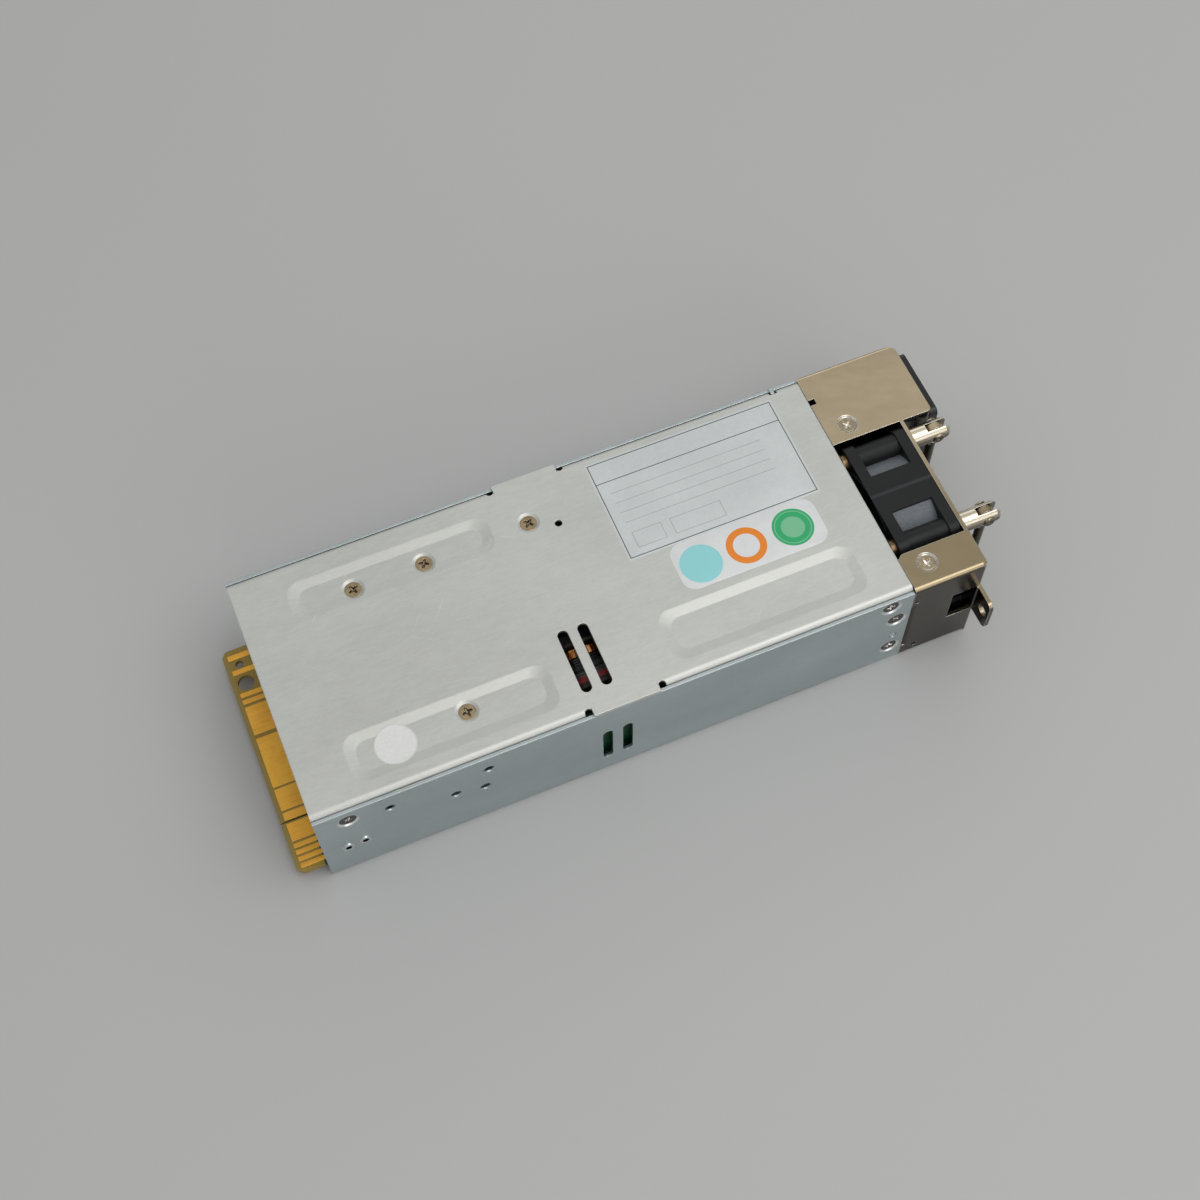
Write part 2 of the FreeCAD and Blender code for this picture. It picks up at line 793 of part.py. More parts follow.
def tab_reliefs():
    """Everything of the near bend that gives way to the flat tab and its two round-ended notches."""
    inner = -side + relief_inset
    start = tab_start - relief_width
    end = tab_end + relief_width
    notches = [obround(x, x + relief_width, -side - 3, inner) for x in (start, tab_end)]
    reach = rectangle(tab_start - 0.1, tab_end + 0.1, -side - 3, inner)
    skirt = block(start, end, -side - 1, -flange_inside, cover_skirt - 1, cover_under - bend)
    return prism(notches[0].fuse([notches[1], reach]), cover_skirt - 1, body_height + 1).fuse(skirt)


def rest_tab():
    """Flat tab that runs out over the near wall's notched rim."""
    return block(tab_start, tab_end, -side, -side + relief_inset + 0.3, cover_under, body_height)


def grille_corner():
    """Room at the rear of the near skirt for the grille plate."""
    return block(rear - 1, rear + grille_gauge + 0.6, -side, -flange_inside + 0.2,
                 cover_skirt - 1, cover_under - bend)


def dimple(seat, gauge):
    """Underside bump of a screw dimple."""
    outer = dimple_width / 2
    low = seat.z - gauge - dimple_depth
    return turned([(0, low), (outer - 0.6, low), (outer, low + dimple_depth), (0, low + dimple_depth)],
                  point(seat.x, seat.y))


def dimple_cut(seat):
    return dished_hole(seat, UP, cover_gauge, dimple_width, dimple_depth)


def cover_slots():
    """Two long slots over the transformer, and one small hole."""
    half = cover_slot_width / 2
    low, high = (inset - side for inset in cover_slot_inset)
    slots = [prism(obround(x - half, x + half, low, high), emboss_under - 1, body_height + 1)
             for x in cover_slot_places]
    x, inset = cover_pinhole
    return slots + [rod(pinhole_width / 2, cover_under - 1, body_height + 1, point(x, side - inset))]


def skirt_holes():
    """Threaded holes in the near skirt for the two screws that hold the cover to the wall."""
    return group([rod(shank, -1, cover_gauge + 1, point(x, -flange_outside, z), ACROSS)
                  for x, z in wall_screws()[:2]])


def tongue(low_side):
    """Tongue that steps down and runs forwards under one of the bracket's top flanges."""
    top = body_height - cover_gauge / 2
    low = body_height - bracket_gauge - cover_gauge / 2
    start = front - joggle * 2
    line = [(start - 3, top), (start, top), (front - joggle * 0.4, low), (front + tongue_length, low)]
    strip = prism(bent_sheet(line, cover_gauge, 1.0), low_side, low_side + tongue_width, "xz")
    return strip


def bracket_screw_seats():
    """Middles of the tops of the two screws that hold the bracket's top flanges."""
    x = bracket_back + bracket_screw_inset
    z = body_height - seat_depth
    return [point(x, -side + near_flange_screw, z), point(x, box_side + far_flange_screw, z)]


def grille_outline(low):
    """Rear plate, narrower above the board and beside the cover's skirts."""
    shoulder = cover_skirt - 0.3
    wide = wall_inside - sheet_fit
    slim = flange_inside - 0.2
    top = cover_under - grille_top_gap
    return outline([(-wide, low), (wide, low), (wide, shoulder), (slim, shoulder), (slim, top - bend),
                    (slim - bend, top), (-slim + bend, top), (-slim, top - bend), (-slim, shoulder),
                    (-wide, shoulder)])


def honeycomb(low, high, reach):
    """Hexagonal holes in staggered rows that fill the given height and half width."""
    rise = hex_pitch * math.sqrt(3) / 2
    rows = int((high - low - hex_width) / rise) + 1
    first = (low + high - (rows - 1) * rise) / 2
    holes = []
    for row in range(rows):
        shift = hex_pitch / 2 if row % 2 else 0
        count = int((reach - hex_width / 2 - shift) / hex_pitch)
        for step in range(-count - (1 if shift else 0), count + 1):
            holes.append(hexagon(step * hex_pitch + shift, first + row * rise, hex_width))
    return holes


def rear_grille():
    """Perforated air outlet over the card edge, with a tab along each side wall."""
    low = board_top + grille_over_board
    plate = grille_outline(low).cut(honeycomb(low + grille_border - 1, cover_under - grille_border,
                                              flange_inside - grille_border))
    outer = wall_inside - sheet_fit - grille_gauge / 2
    middle = rear + grille_gauge / 2
    line = [(rear + grille_tab, -outer), (middle, -outer), (middle, outer), (rear + grille_tab, outer)]
    wrap = prism(bent_sheet(line, grille_gauge, 1.0), low, cover_skirt - 0.3)
    middle_out = block(rear - 1, rear + grille_gauge + 0.01, -outer + 2, outer - 2, 0, body_height)
    body = wrap.cut(middle_out).fuse(prism(trim_corners(plate, outer), rear, rear + grille_gauge, "yz"))
    for holes in both_sides(grille_rivet_holes):
        body = body.cut(holes)
    return whole(body)


def trim_corners(plate, outer):
    """The plate without its two side edges, which the bent tabs make."""
    return plate.common(rectangle(-outer + 1.9, outer - 1.9, 0, body_height))


def grille_rivet_holes():
    return group([wall_hole(rear + inset, z, rivet_hole) for inset, z in grille_rivets_inset])


def near_grille_rivets():
    """Tubular rivets that hold a tab of the grille to the near wall."""
    outer = rivet_head / 2
    inner = rivet_hole / 2
    bore = inner - 0.6
    depth = chassis_gauge + sheet_fit + grille_gauge
    profile = [(bore, -rivet_rise), (outer - 0.2, -rivet_rise), (outer, 0), (inner, 0), (inner, depth),
               (outer, depth), (outer - 0.3, depth + rivet_rise), (bore, depth + rivet_rise)]
    return [turned(profile, point(rear + inset, -side, z), ACROSS) for inset, z in grille_rivets_inset]


def grille_rivets():
    near = near_grille_rivets()
    return group(near + [mirrored(rivet) for rivet in near])


def cover_screws():
    return group([flat_screw(cover_screw_seat(x, y), UP, cover_gauge) for x, y in cover_screw_places])


def side_screws():
    """Countersunk screws in both side walls, for the cover and for the bracket's rear tabs."""
    near = [sunk_screw(seat, point(0, -1, 0), chassis_gauge, screw_length * 0.65)
            for seat in side_screw_seats()]
    return group(near + [mirrored(screw) for screw in near])


# ---- front bracket ----------------------------------------------------------------------------
def bracket_outline():
    """Plan of the bracket, with its rounded and clipped corners."""
    points = [(bracket_back, -side), (panel_front, -side), (panel_front, box_side),
              (box_front, box_side), (box_front, side - clipped_corner),
              (box_front - clipped_corner, side), (bracket_back, side)]
    return outline(points, [0, corner_radius, 0, corner_radius, 0.5, 0.5, rear_corner])


def flange_outlines():
    """Plans of the bracket's near flange and of the inlet box's lid."""
    near = outline([(bracket_back, -side), (panel_front, -side), (panel_front, near_flange_edge),
                    (bracket_back, near_flange_edge)], [0, 0, 0, flange_corner])
    far = rectangle(bracket_back, box_front, box_side, side)
    notch = rectangle(bracket_back - 1, bracket_back + flange_notch,
                      notch_place - flange_notch / 2, notch_place + flange_notch / 2)
    return near, far.cut(notch)


def channel_walls():
    """Near wall and inlet box's far wall, each with its top and bottom flange bent from it."""
    low = bracket_gauge / 2
    top = body_height - low
    middle = side - low
    radius = bracket_gauge / 2 + bracket_bend
    near = [(near_flange_edge, low), (-middle, low), (-middle, top), (near_flange_edge, top)]
    far = [(box_side, low), (middle, low), (middle, top), (box_side, top)]
    solids = []
    for line, end in ((near, panel_front), (far, box_front)):
        solids.append(prism(bent_sheet(line, bracket_gauge, radius), bracket_back, end, "yz"))
    near_plan, far_plan = flange_outlines()
    keep = prism(near_plan.fuse(far_plan), -1, body_height + 1)
    return solids[0].fuse(solids[1]).common(keep)


def fan_openings():
    """Ring-shaped air slots in the fan panel, crossed by four spokes."""
    spokes = [rectangle(-fan_size, fan_size, -grille_spoke / 2, grille_spoke / 2) for _ in range(2)]
    for spoke, angle in zip(spokes, (45, -45)):
        spoke.rotate(ZERO, UP, angle)
    openings = []
    for step in range(grille_rings):
        inner = grille_hub + step * (grille_ring_width + grille_web)
        openings += ring(0, 0, inner, inner + grille_ring_width).cut(spokes).Faces
    for face in openings:
        face.translate(point(fan_offset, fan_height))
    return openings


def fan_corners():
    """(y, z) of the fan's four fixing holes: upper near, upper far, lower near, lower far."""
    half = fan_pitch / 2
    return [(fan_offset + across * half, fan_height + up * half)
            for up in (1, -1) for across in (-1, 1)]


def fan_panel():
    """Front panel of the bracket behind the handle, with the fan's air slots and screw holes."""
    face = rectangle(-side, box_side + bracket_gauge, 0, body_height)
    holes = fan_openings() + [disc(y, z, shank_hole) for y, z in fan_corners()]
    holes.append(disc(lamp_inset - side, lamp_height, lamp_width / 2 + lamp_play))
    return prism(face.cut(holes), panel_back, panel_front, "yz")


def inlet_cutout():
    return rectangle(inlet_offset - inlet_body_width / 2 - cutout_room,
                     inlet_offset + inlet_body_width / 2 + cutout_room,
                     inlet_height - inlet_body_height / 2 - cutout_room,
                     inlet_height + inlet_body_height / 2 + cutout_room)


def clipped_wall():
    """The slanting strip of wall at the inlet box's clipped corner."""
    inner = bracket_gauge * math.tan(math.radians(22.5))
    face = outline([(box_front, side - clipped_corner), (box_front - clipped_corner, side),
                    (box_front - clipped_corner - inner, side - bracket_gauge),
                    (box_back, side - clipped_corner - inner)])
    bend = bracket_gauge + bracket_bend
    bent = outline([(box_side, 0), (side, 0), (side, body_height), (box_side, body_height)],
                   [0, bend, bend, 0])
    return prism(face, 0, body_height).common(prism(bent, bracket_back, box_front, "yz"))


def rear_tab():
    """Near wall's rear tab, which steps in and slides behind the chassis wall."""
    inside = -wall_inside + sheet_fit + bracket_gauge / 2
    outside = -side + bracket_gauge / 2
    line = [(front - bracket_tab, inside), (front + bracket_joggle, inside),
            (joggle_end(), outside), (joggle_end() + 4, outside)]
    high = cover_skirt - bracket_tab_gap
    strip = prism(bent_sheet(line, bracket_gauge, 0.7), bracket_tab_low, high)
    holes = [rod(shank, -1, bracket_gauge + 1, point(x, -wall_inside, z), ACROSS)
             for x, z in wall_screws()[2:]]
    return strip.cut(holes).fuse(locating_stud())


def locating_stud():
    """Round stud on the rear tab that stands in the chassis wall's locating hole."""
    radius = locating_width / 2 - stud_play
    profile = [(0, -0.2), (radius, -0.2), (radius, stud_height * 0.5), (radius * 0.75, stud_height * 0.85),
               (radius * 0.4, stud_height), (0, stud_height)]
    return turned(profile, point(front - locating_hole[0], sheet_fit - wall_inside, locating_hole[1]),
                  point(0, -1, 0))


def joggle_end():
    """Where the rear tab, stepping out at 45 degrees, reaches the plane of the bracket's wall."""
    return front + bracket_joggle + chassis_gauge + sheet_fit


def tab_room():
    """What the walls give up where the rear tab steps inwards."""
    high = cover_skirt - bracket_tab_gap
    return block(bracket_back - 1, joggle_end() + joggle_room, -side - 1, -side + bracket_gauge + 0.01,
                 bracket_tab_low, high)


def ear():
    """Fixing ear bent outwards from the near wall, with one screw hole."""
    tip = -side - ear_reach
    face = outline([(tip, ear_low), (-side + bracket_gauge, ear_low), (-side + bracket_gauge, ear_high),
                    (tip, ear_high)], [ear_corner, 0, 0, ear_corner])
    face = face.cut(disc(tip + ear_hole_inset, (ear_low + ear_high) / 2, ear_hole / 2))
    plate = prism(face, panel_back, panel_front, "yz")
    web = rectangle(panel_back - ear_bend, panel_back, -side - ear_bend, -side)
    web = web.cut(disc(panel_back - ear_bend, -side - ear_bend, ear_bend))
    return plate.fuse(prism(web, ear_low, ear_high))


def ear_window():
    """Window that the ear was bent out of."""
    return block(panel_back - window_room - window_length, panel_back - window_room, -side - 1,
                 -side + bracket_gauge + 0.01, ear_low - window_room, ear_high + window_room)


def front_bracket():
    """Nickel-plated bracket: near wall and ear, fan panel, inlet box, flanges and rear tabs."""
    step_wall = block(panel_back, box_front, box_side, box_side + bracket_gauge, 0, body_height)
    side_wall = block(bracket_back, panel_back + 1, box_side, box_side + bracket_gauge, 0, body_height)
    face = rectangle(box_side, side - clipped_corner, 0, body_height).cut(inlet_cutout())
    face_wall = prism(face, box_back, box_front, "yz")
    shell = channel_walls().fuse([fan_panel(), step_wall, side_wall, face_wall, clipped_wall()])
    shell = shell.common(prism(bracket_outline(), 0, body_height))
    shell = shell.cut(both_sides(tab_room))
    shell = shell.fuse(both_sides(rear_tab) + [ear()]).cut([ear_window()] + bracket_holes())
    return whole(shell)


def bracket_holes():
    """Countersinks in the top flanges, and the small holes and dimples of the near wall."""
    holes = [sunk_hole(seat, UP, bracket_gauge) for seat in bracket_screw_seats()]
    small = [(bracket_back + 1.4, body_height - 7.3, 0.7), (bracket_back + 4.5, 4.2, 0.9)]
    for x, z, radius in small:
        holes.append(rod(radius, -1, bracket_gauge + 1, point(x, -side, z), ACROSS))
    return holes


def bracket_screws():
    return group([sunk_screw(seat, UP, bracket_gauge, screw_length * 0.75)
                  for seat in bracket_screw_seats()])


def status_lamp():
    """Small round lamp in the fan panel, clipped behind it."""
    radius = lamp_width / 2
    profile = [(0, -4.0), (radius + 0.8, -4.0), (radius + 0.8, 0), (radius, 0),
               (radius, bracket_gauge + 0.3), (radius * 0.6, bracket_gauge + 0.9), (0, bracket_gauge + 1.0)]
    return turned(profile, point(panel_back, lamp_inset - side, lamp_height), ALONG)


# ---- fan --------------------------------------------------------------------------------------
def fan_axis(x=0.0):
    return point(x, fan_offset, fan_height)


def fan_square():
    """Square end of the fan frame with rounded corners."""
    half = fan_size / 2
    return rectangle(-half, half, -half, half, fan_corner)


def fan_drum():
    """Section of the fan frame between its flanges: round drum, flat bands and corner columns."""
    half = fan_size / 2
    drum = disc(0, 0, fan_bore / 2 + fan_drum_wall).common(fan_square())
    column = fan_corner + 0.3
    place = fan_pitch / 2
    corners = [disc(a * place, b * place, column) for a in (-1, 1) for b in (-1, 1)]
    band = fan_band / 2
    bands = [rectangle(-band, band, -half, half), rectangle(-half, half, -band, band)]
    return drum.fuse(corners + bands).common(rectangle(-half, half, -half, half))


def fan_frame():
    """Moulded fan housing with its motor base on four struts at the outlet."""
    bore = fan_bore / 2
    flange = fan_square()
    body = prism(flange, 0, fan_flange).fuse([prism(flange, fan_depth - fan_flange, fan_depth),
                                              prism(fan_drum(), fan_flange, fan_depth - fan_flange)])
    cuts = [rod(bore, -1, fan_depth + 1)]
    for low, first, last in ((0, bore + fan_flare, bore), (fan_depth - fan_flare, bore, bore + fan_flare)):
        high = low + fan_flare
        cuts.append(turned([(0, low), (first, low), (last, high), (0, high)]))
    place = fan_pitch / 2
    cuts += [rod(fan_hole / 2, -1, fan_depth + 1, point(a * place, b * place))
             for a in (-1, 1) for b in (-1, 1)]
    frame = body.cut(cuts).fuse([motor_mount()] + fan_struts())
    return whole(set_on_fan(frame).cut(fan_lead_notch()))


def fan_lead_places():
    """y of each of the fan's leads."""
    return [fan_offset + fan_wire_offset + step * fan_wire_pitch for step in range(fan_wires)]


def fan_lead_notch():
    """Notch in the rear flange's lower edge that the leads run out through."""
    low = fan_height - fan_size / 2
    places = fan_lead_places()
    room = fan_wire / 2 + fan_wire_play
    return block(fan_back - 1, fan_back + fan_flange + 0.01, places[0] - room, places[-1] + room,
                 low - 1, low + fan_wire_lift + room)


def motor_mount():
    """Round motor base and the tube that carries the bearings."""
    base = fan_depth - motor_base_depth
    outer = motor_tube / 2
    inner = outer - motor_tube_wall
    return turned([(inner, hub_bottom()), (outer, hub_bottom()), (outer, base),
                   (motor_base / 2, base), (motor_base / 2, fan_depth), (0, fan_depth),
                   (0, fan_depth - 1.0), (inner, fan_depth - 1.0)])


def fan_struts():
    """Slanting struts from the motor base to the housing."""
    low = fan_depth - strut_depth
    struts = []
    for step in range(strut_count):
        strut = block(motor_base / 2 - 0.6, fan_bore / 2 + 0.5, -strut_width / 2, strut_width / 2,
                      low, fan_depth)
        strut.rotate(ZERO, UP, 18 + step * 360 / strut_count)
        struts.append(strut)
    return struts


def set_on_fan(shape):
    """Fan piece built up from its inlet side, set on the fan's axis."""
    turned_shape = shape.copy()
    turned_shape.rotate(ZERO, point(1, 1, 1), 120)
    turned_shape.translate(fan_axis(fan_back))
    return turned_shape


def hub_bottom():
    """Height inside the hub where the motor tube may start."""
    return hub_setback + hub_wall + hub_gap


def hub_top():
    return fan_depth - motor_base_depth - hub_gap


def fan_rotor():
    """Hub cup and its twisted blades."""
    outer = hub_width / 2
    inner = outer - hub_wall
    floor = hub_setback + hub_wall
    cup = turned([(shaft_width / 2, hub_setback), (outer - 1.0, hub_setback), (outer, hub_setback + 1.0),
                  (outer, hub_top()), (inner, hub_top()), (inner, floor), (shaft_width / 2, floor)])
    blades = []
    for step in range(blade_count):
        blade = fan_blade()
        blade.rotate(ZERO, UP, step * 360 / blade_count)
        blades.append(blade)
    return set_on_fan(whole(cup.fuse(blades)))


def blade_section(radius, chord, angle, camber, thickness):
    """Curved blade section at one radius, in the plane that touches the cylinder there."""
    lean = math.radians(angle)
    along = point(0, math.sin(lean), math.cos(lean))
    normal = point(0, math.cos(lean), -math.sin(lean))
    middle = point(radius, 0, (hub_setback + 0.6 + hub_top()) / 2)
    ends = [middle - along * (chord / 2), middle + along * (chord / 2)]
    upper = middle + normal * (camber + thickness / 2)
    lower = middle + normal * (camber - thickness / 2)
    lip = normal * (thickness * 0.3)
    edges = [Part.Arc(ends[0] + lip, upper, ends[1] + lip).toShape(),
             Part.makeLine(ends[1] + lip, ends[1] - lip),
             Part.Arc(ends[1] - lip, lower, ends[0] - lip).toShape(),
             Part.makeLine(ends[0] - lip, ends[0] + lip)]
    return Part.Wire(edges)


def fan_blade():
    """One blade, lofted from hub to tip and trimmed to the running gap in the bore."""
    tip = fan_bore / 2 - blade_tip_gap
    root = hub_width / 2 - hub_wall * 0.6
    sections = [blade_section(root, blade_root_chord, blade_root_angle, blade_camber, blade_root_thickness),
                blade_section(tip + 1, blade_tip_chord, blade_tip_angle, blade_tip_camber, blade_thickness)]
    trim = tube(hub_width / 2 - hub_wall * 0.5, tip, hub_setback + 0.3, hub_top())
    return Part.makeLoft(sections, True, True).common(trim)


def fan_shaft():
    return set_on_fan(rod(shaft_width / 2, hub_setback, fan_depth - 1.4))


def fan_magnet():
    outer = hub_width / 2 - hub_wall
    return set_on_fan(tube(outer - magnet_wall, outer, hub_bottom(), hub_top() - 0.6))


def fan_bearings():
    """Two bearings in the motor tube."""
    inner = shaft_width / 2 + bearing_play
    outer = motor_tube / 2 - motor_tube_wall
    lows = (hub_bottom(), fan_depth - motor_base_depth - bearing_length)
    return group([set_on_fan(tube(inner, outer, low, low + bearing_length)) for low in lows])


def fan_stator():
    """Stack of motor plates with its coils, pressed on the motor tube."""
    outer = hub_width / 2 - hub_wall - magnet_wall - stator_gap
    inner = motor_tube / 2
    base = fan_depth - motor_base_depth
    low = base - stator_length - 1.0
    face = ring(0, 0, inner, outer)
    gaps = []
    for step in range(pole_count):
        gap = rectangle(inner + 1.6, outer + 1, -0.8, 0.8)
        gap.rotate(ZERO, UP, 45 + step * 360 / pole_count)
        gaps.append(gap)
    plates = prism(face.cut(gaps), low, low + stator_length)
    foot = tube(inner, inner + 1.5, low + stator_length, base)
    return set_on_fan(whole(plates.fuse(foot)))


def fan_screws():
    """Screws through the panel into the fan's two lower corners."""
    return group([pan_screw(point(panel_front, y, z), ALONG, panel_screw_length + bracket_gauge)
                  for y, z in fan_corners()[2:]])


def fan_nuts():
    """Round nuts behind the fan's two upper corners."""
    wide = nut_width / 2
    profile = [(shank_hole, -nut_thickness), (wide, -nut_thickness), (wide, 0), (shank_hole, 0)]
    return group([turned(profile, point(fan_back, y, z), ALONG) for y, z in fan_corners()[:2]])


# ---- handle -----------------------------------------------------------------------------------
def handle_post(y):
    """Slotted post whose stem screws through the panel into a corner of the fan."""
    radius = post_width / 2
    edge = 0.4
    profile = [(0, -panel_screw_length - bracket_gauge), (shank, -panel_screw_length - bracket_gauge),
               (shank, 0), (radius - edge, 0), (radius, edge), (radius, post_length - post_nose),
               (radius - post_nose * 0.13, post_length - post_nose / 2),
               (radius - post_nose / 2, post_length - post_nose * 0.13),
               (radius - post_nose, post_length), (0, post_length)]
    post = turned(profile, point(panel_front, y, pivot_z), ALONG)
    slot = block(post_end - post_slot_depth, post_end + 1, y - post_slot / 2, y + post_slot / 2,
                 pivot_z - post_width, pivot_z + post_width)
    hole = rod(rivet_shank / 2, -post_width, post_width, point(pivot_x, y, pivot_z), ACROSS)
    flats = []
    for away in (1, -1):
        flats.append(rod(pivot_head / 2 + 0.1, radius - spot_face, radius + 1,
                         point(pivot_x, y, pivot_z), ACROSS * away))
    return whole(post.cut([slot, hole] + flats))


def handle_posts():
    return group([handle_post(y) for y in post_places])


def handle_rivets():
    """Flanged pivot rivets through the posts' forked ends."""
    outer = pivot_head / 2
    inner = rivet_shank / 2
    reach = post_width / 2 - spot_face
    top = reach + pivot_head_height
    bore = inner * 0.5
    profile = [(0, -top + 0.4), (bore, -top), (outer - 0.4, -top), (outer, -top + 0.3), (outer, -reach),
               (inner, -reach), (inner, reach), (outer, reach), (outer, top - 0.3),
               (outer - 0.4, top), (bore, top), (0, top - 0.4)]
    return group([turned(profile, point(pivot_x, y, pivot_z), ACROSS) for y in post_places])


def handle_eye(y):
    """Flattened round end of the handle's rod, with its pivot hole and tapering neck."""
    wide = eye_width / 2
    thin = handle_rod / 2
    neck = outline([(-wide * 0.94, 0.9), (-thin, eye_neck), (thin, eye_neck), (wide * 0.94, 0.9)])
    face = disc(0, 0, wide).fuse(neck).cut(disc(0, 0, rivet_shank / 2 + rivet_clearance))
    solid = prism(face, -eye_thickness / 2, eye_thickness / 2, "xz")
    solid.rotate(ZERO, ACROSS, 180)
    solid.translate(point(pivot_x, y, pivot_z))
    return solid


def handle_bail():
    """Handle rod bent to a U, hanging from its two eyes."""
    near, far = post_places
    top = pivot_z - eye_neck + eye_overlap
    low = pivot_z - handle_reach
    corners = [point(pivot_x, near, top), point(pivot_x, near, low),
               point(pivot_x, far, low), point(pivot_x, far, top)]
    bar = wire(corners, handle_rod, handle_bend)
    return whole(bar.fuse([handle_eye(near), handle_eye(far)]))


# ---- AC inlet ---------------------------------------------------------------------------------
def inlet_box(height, width, low, high, radius=0.0):
    """Upright block round the inlet's middle line."""
    face = rectangle(inlet_offset - width / 2, inlet_offset + width / 2,
                     inlet_height - height / 2, inlet_height + height / 2, radius)
    return prism(face, low, high, "yz")


def socket_outline():
    """Socket mouth: an upright rectangle with two corners clipped on the earth pin's side."""
    y0 = inlet_offset - socket_width / 2
    y1 = inlet_offset + socket_width / 2
    z0 = inlet_height - socket_height / 2
    z1 = inlet_height + socket_height / 2
    clip = socket_clip
    return outline([(y0, z0), (y1 - clip, z0), (y1, z0 + clip), (y1, z1 - clip), (y1 - clip, z1),
                    (y0, z1)], [1.2, 1.0, 1.0, 1.0, 1.0, 1.2])


def inlet_latches():
    """Sprung wedges that hold the inlet behind its panel."""
    latches = []
    for away in (-1, 1):
        z0 = inlet_height + away * inlet_body_height / 2
        tip = z0 + away * latch_rise
        face = outline([(box_back, z0), (box_back, tip), (box_back - latch_length, z0)])
        latches.append(prism(face, inlet_offset - 4, inlet_offset + 4, "xz"))
    return latches


def pin_places():
    """(y, z) of the two line pins and the earth pin."""
    line = inlet_offset + line_pin_offset
    return [(line, inlet_height + line_pin_pitch / 2), (line, inlet_height - line_pin_pitch / 2),
            (inlet_offset + earth_pin_offset, inlet_height)]


def ac_inlet_housing():
    """Moulded inlet with its flange, clipped socket and closed back."""
    back = box_front - inlet_body_depth
    flange = inlet_box(inlet_flange_height, inlet_flange_width, box_front, inlet_face, inlet_flange_corner)
    body = inlet_box(inlet_body_height, inlet_body_width, back, box_front, 1.0)
    socket = prism(socket_outline(), inlet_face - socket_depth, inlet_face + 1, "yz")
    slits = [pin_blade(y, z, back - 1, inlet_face) for y, z in pin_places()]
    return whole(flange.fuse([body] + inlet_latches()).cut([socket] + slits))


def pin_blade(y, z, low, high):
    return block(low, high, y - pin_breadth / 2, y + pin_breadth / 2, z - pin_width / 2, z + pin_width / 2)


def inlet_pin(y, z):
    """One blade with a chamfered tip, and its solder tab behind the housing."""
    tip = inlet_face - pin_setback
    back = box_front - inlet_body_depth
    nose = 0.5
    face = outline([(back - 1.0, z - pin_width / 2), (tip - nose, z - pin_width / 2), (tip, z - 0.4),
                    (tip, z + 0.4), (tip - nose, z + pin_width / 2), (back - 1.0, z + pin_width / 2)])
    blade = prism(face, y - pin_breadth / 2, y + pin_breadth / 2, "xz")
    tab = outline([(back - terminal_length, y - terminal_breadth / 2), (back, y - terminal_breadth / 2),
                   (back, y + terminal_breadth / 2), (back - terminal_length, y + terminal_breadth / 2)],
                  [1.2, 0, 0, 1.2])
    tab = tab.cut(disc(back - terminal_length + 2.8, y, 0.9))
    return whole(blade.fuse(prism(tab, z - terminal_gauge / 2, z + terminal_gauge / 2)))


def ac_inlet_pins():
    return group([inlet_pin(y, z) for y, z in pin_places()])


# ---- circuit board ----------------------------------------------------------------------------
def standoffs():
    """(x, y) of the board's standoffs: four near the corners and two between."""
    away = board_width / 2 - standoff_edge
    corners = [(x, y) for x in (rear + standoff_inset, front - standoff_inset) for y in (-away, away)]
    return corners + [(x, hand * away) for x, hand in middle_standoffs]


def main_board():
    """Board with its card edge: clipped corners, bevelled lip, two guide holes and a slit."""
    half = board_width / 2
    lip = rear - board_overhang
    end = front - board_setback
    clip = board_clip
    face = outline([(lip, -half + clip), (lip + clip, -half), (end, -half), (end, half),
                    (lip + clip, half), (lip, half - clip)])
    holes = [disc(lip + guide_setback, place, width / 2) for place, width in (key_hole, guide_hole)]
    holes.append(rectangle(lip - 1, rear - 0.5, slit_place - slit_width / 2, slit_place + slit_width / 2))
    holes += [disc(x, y, shank_hole) for x, y in standoffs()]
    board = prism(face.cut(holes), board_bottom, board_top)
    bevels = []
    for z, away in ((board_top, 1), (board_bottom, -1)):
        wedge = outline([(lip - 0.1, z - away * board_bevel), (lip - 0.1, z + away),
                         (lip + bevel_length, z + away), (lip + bevel_length, z)])
        bevels.append(prism(wedge, -half - 1, half + 1, "xz"))
    return whole(board.cut(bevels))


def contact_strips():
    """(low y, high y) of every contact across the card edge."""
    fingers = []
    for step in range(finger_count):
        high = finger_start - step * finger_pitch
        fingers.append((high - finger_width, high))
    return list(power_contacts) + list(sense_contacts) + fingers


def edge_contacts():
    """Gold contacts on both faces of the card edge."""
    start = rear - board_overhang + bevel_length + contact_setback
    end = rear + contact_inset
    strips = []
    for low, high in contact_strips():
        for z in (board_top, board_bottom - contact_gauge):
            strips.append(block(start, end, low, high, z, z + contact_gauge))
    return group(strips)


def board_standoffs():
    """Hexagonal standoffs, each with a stud clinched in the chassis."""
    solids = []
    for x, y in standoffs():
        hexed = prism(hexagon(x, y, standoff_width), chassis_gauge, board_bottom)
        stud = rod(stud_width / 2, 0, chassis_gauge, point(x, y))
        bore = rod(shank, 0.5, board_bottom + 1, point(x, y))
        solids.append(whole(hexed.fuse(stud).cut(bore)))
    return group(solids)


def board_screws():
    length = board_gauge + board_bottom - 0.8
    return group([pan_screw(point(x, y, board_top), UP, length) for x, y in standoffs()])


def insulator_sheet():
    """Thin sheet between the chassis and the underside of the board."""
    half = board_width / 2
    face = rectangle(rear + insulator_inset, front - insulator_inset, -half, half, 2.0)
    holes = [disc(x, y, standoff_width * 0.7) for x, y in standoffs()]
    return prism(face.cut(holes), chassis_gauge, chassis_gauge + insulator_gauge)


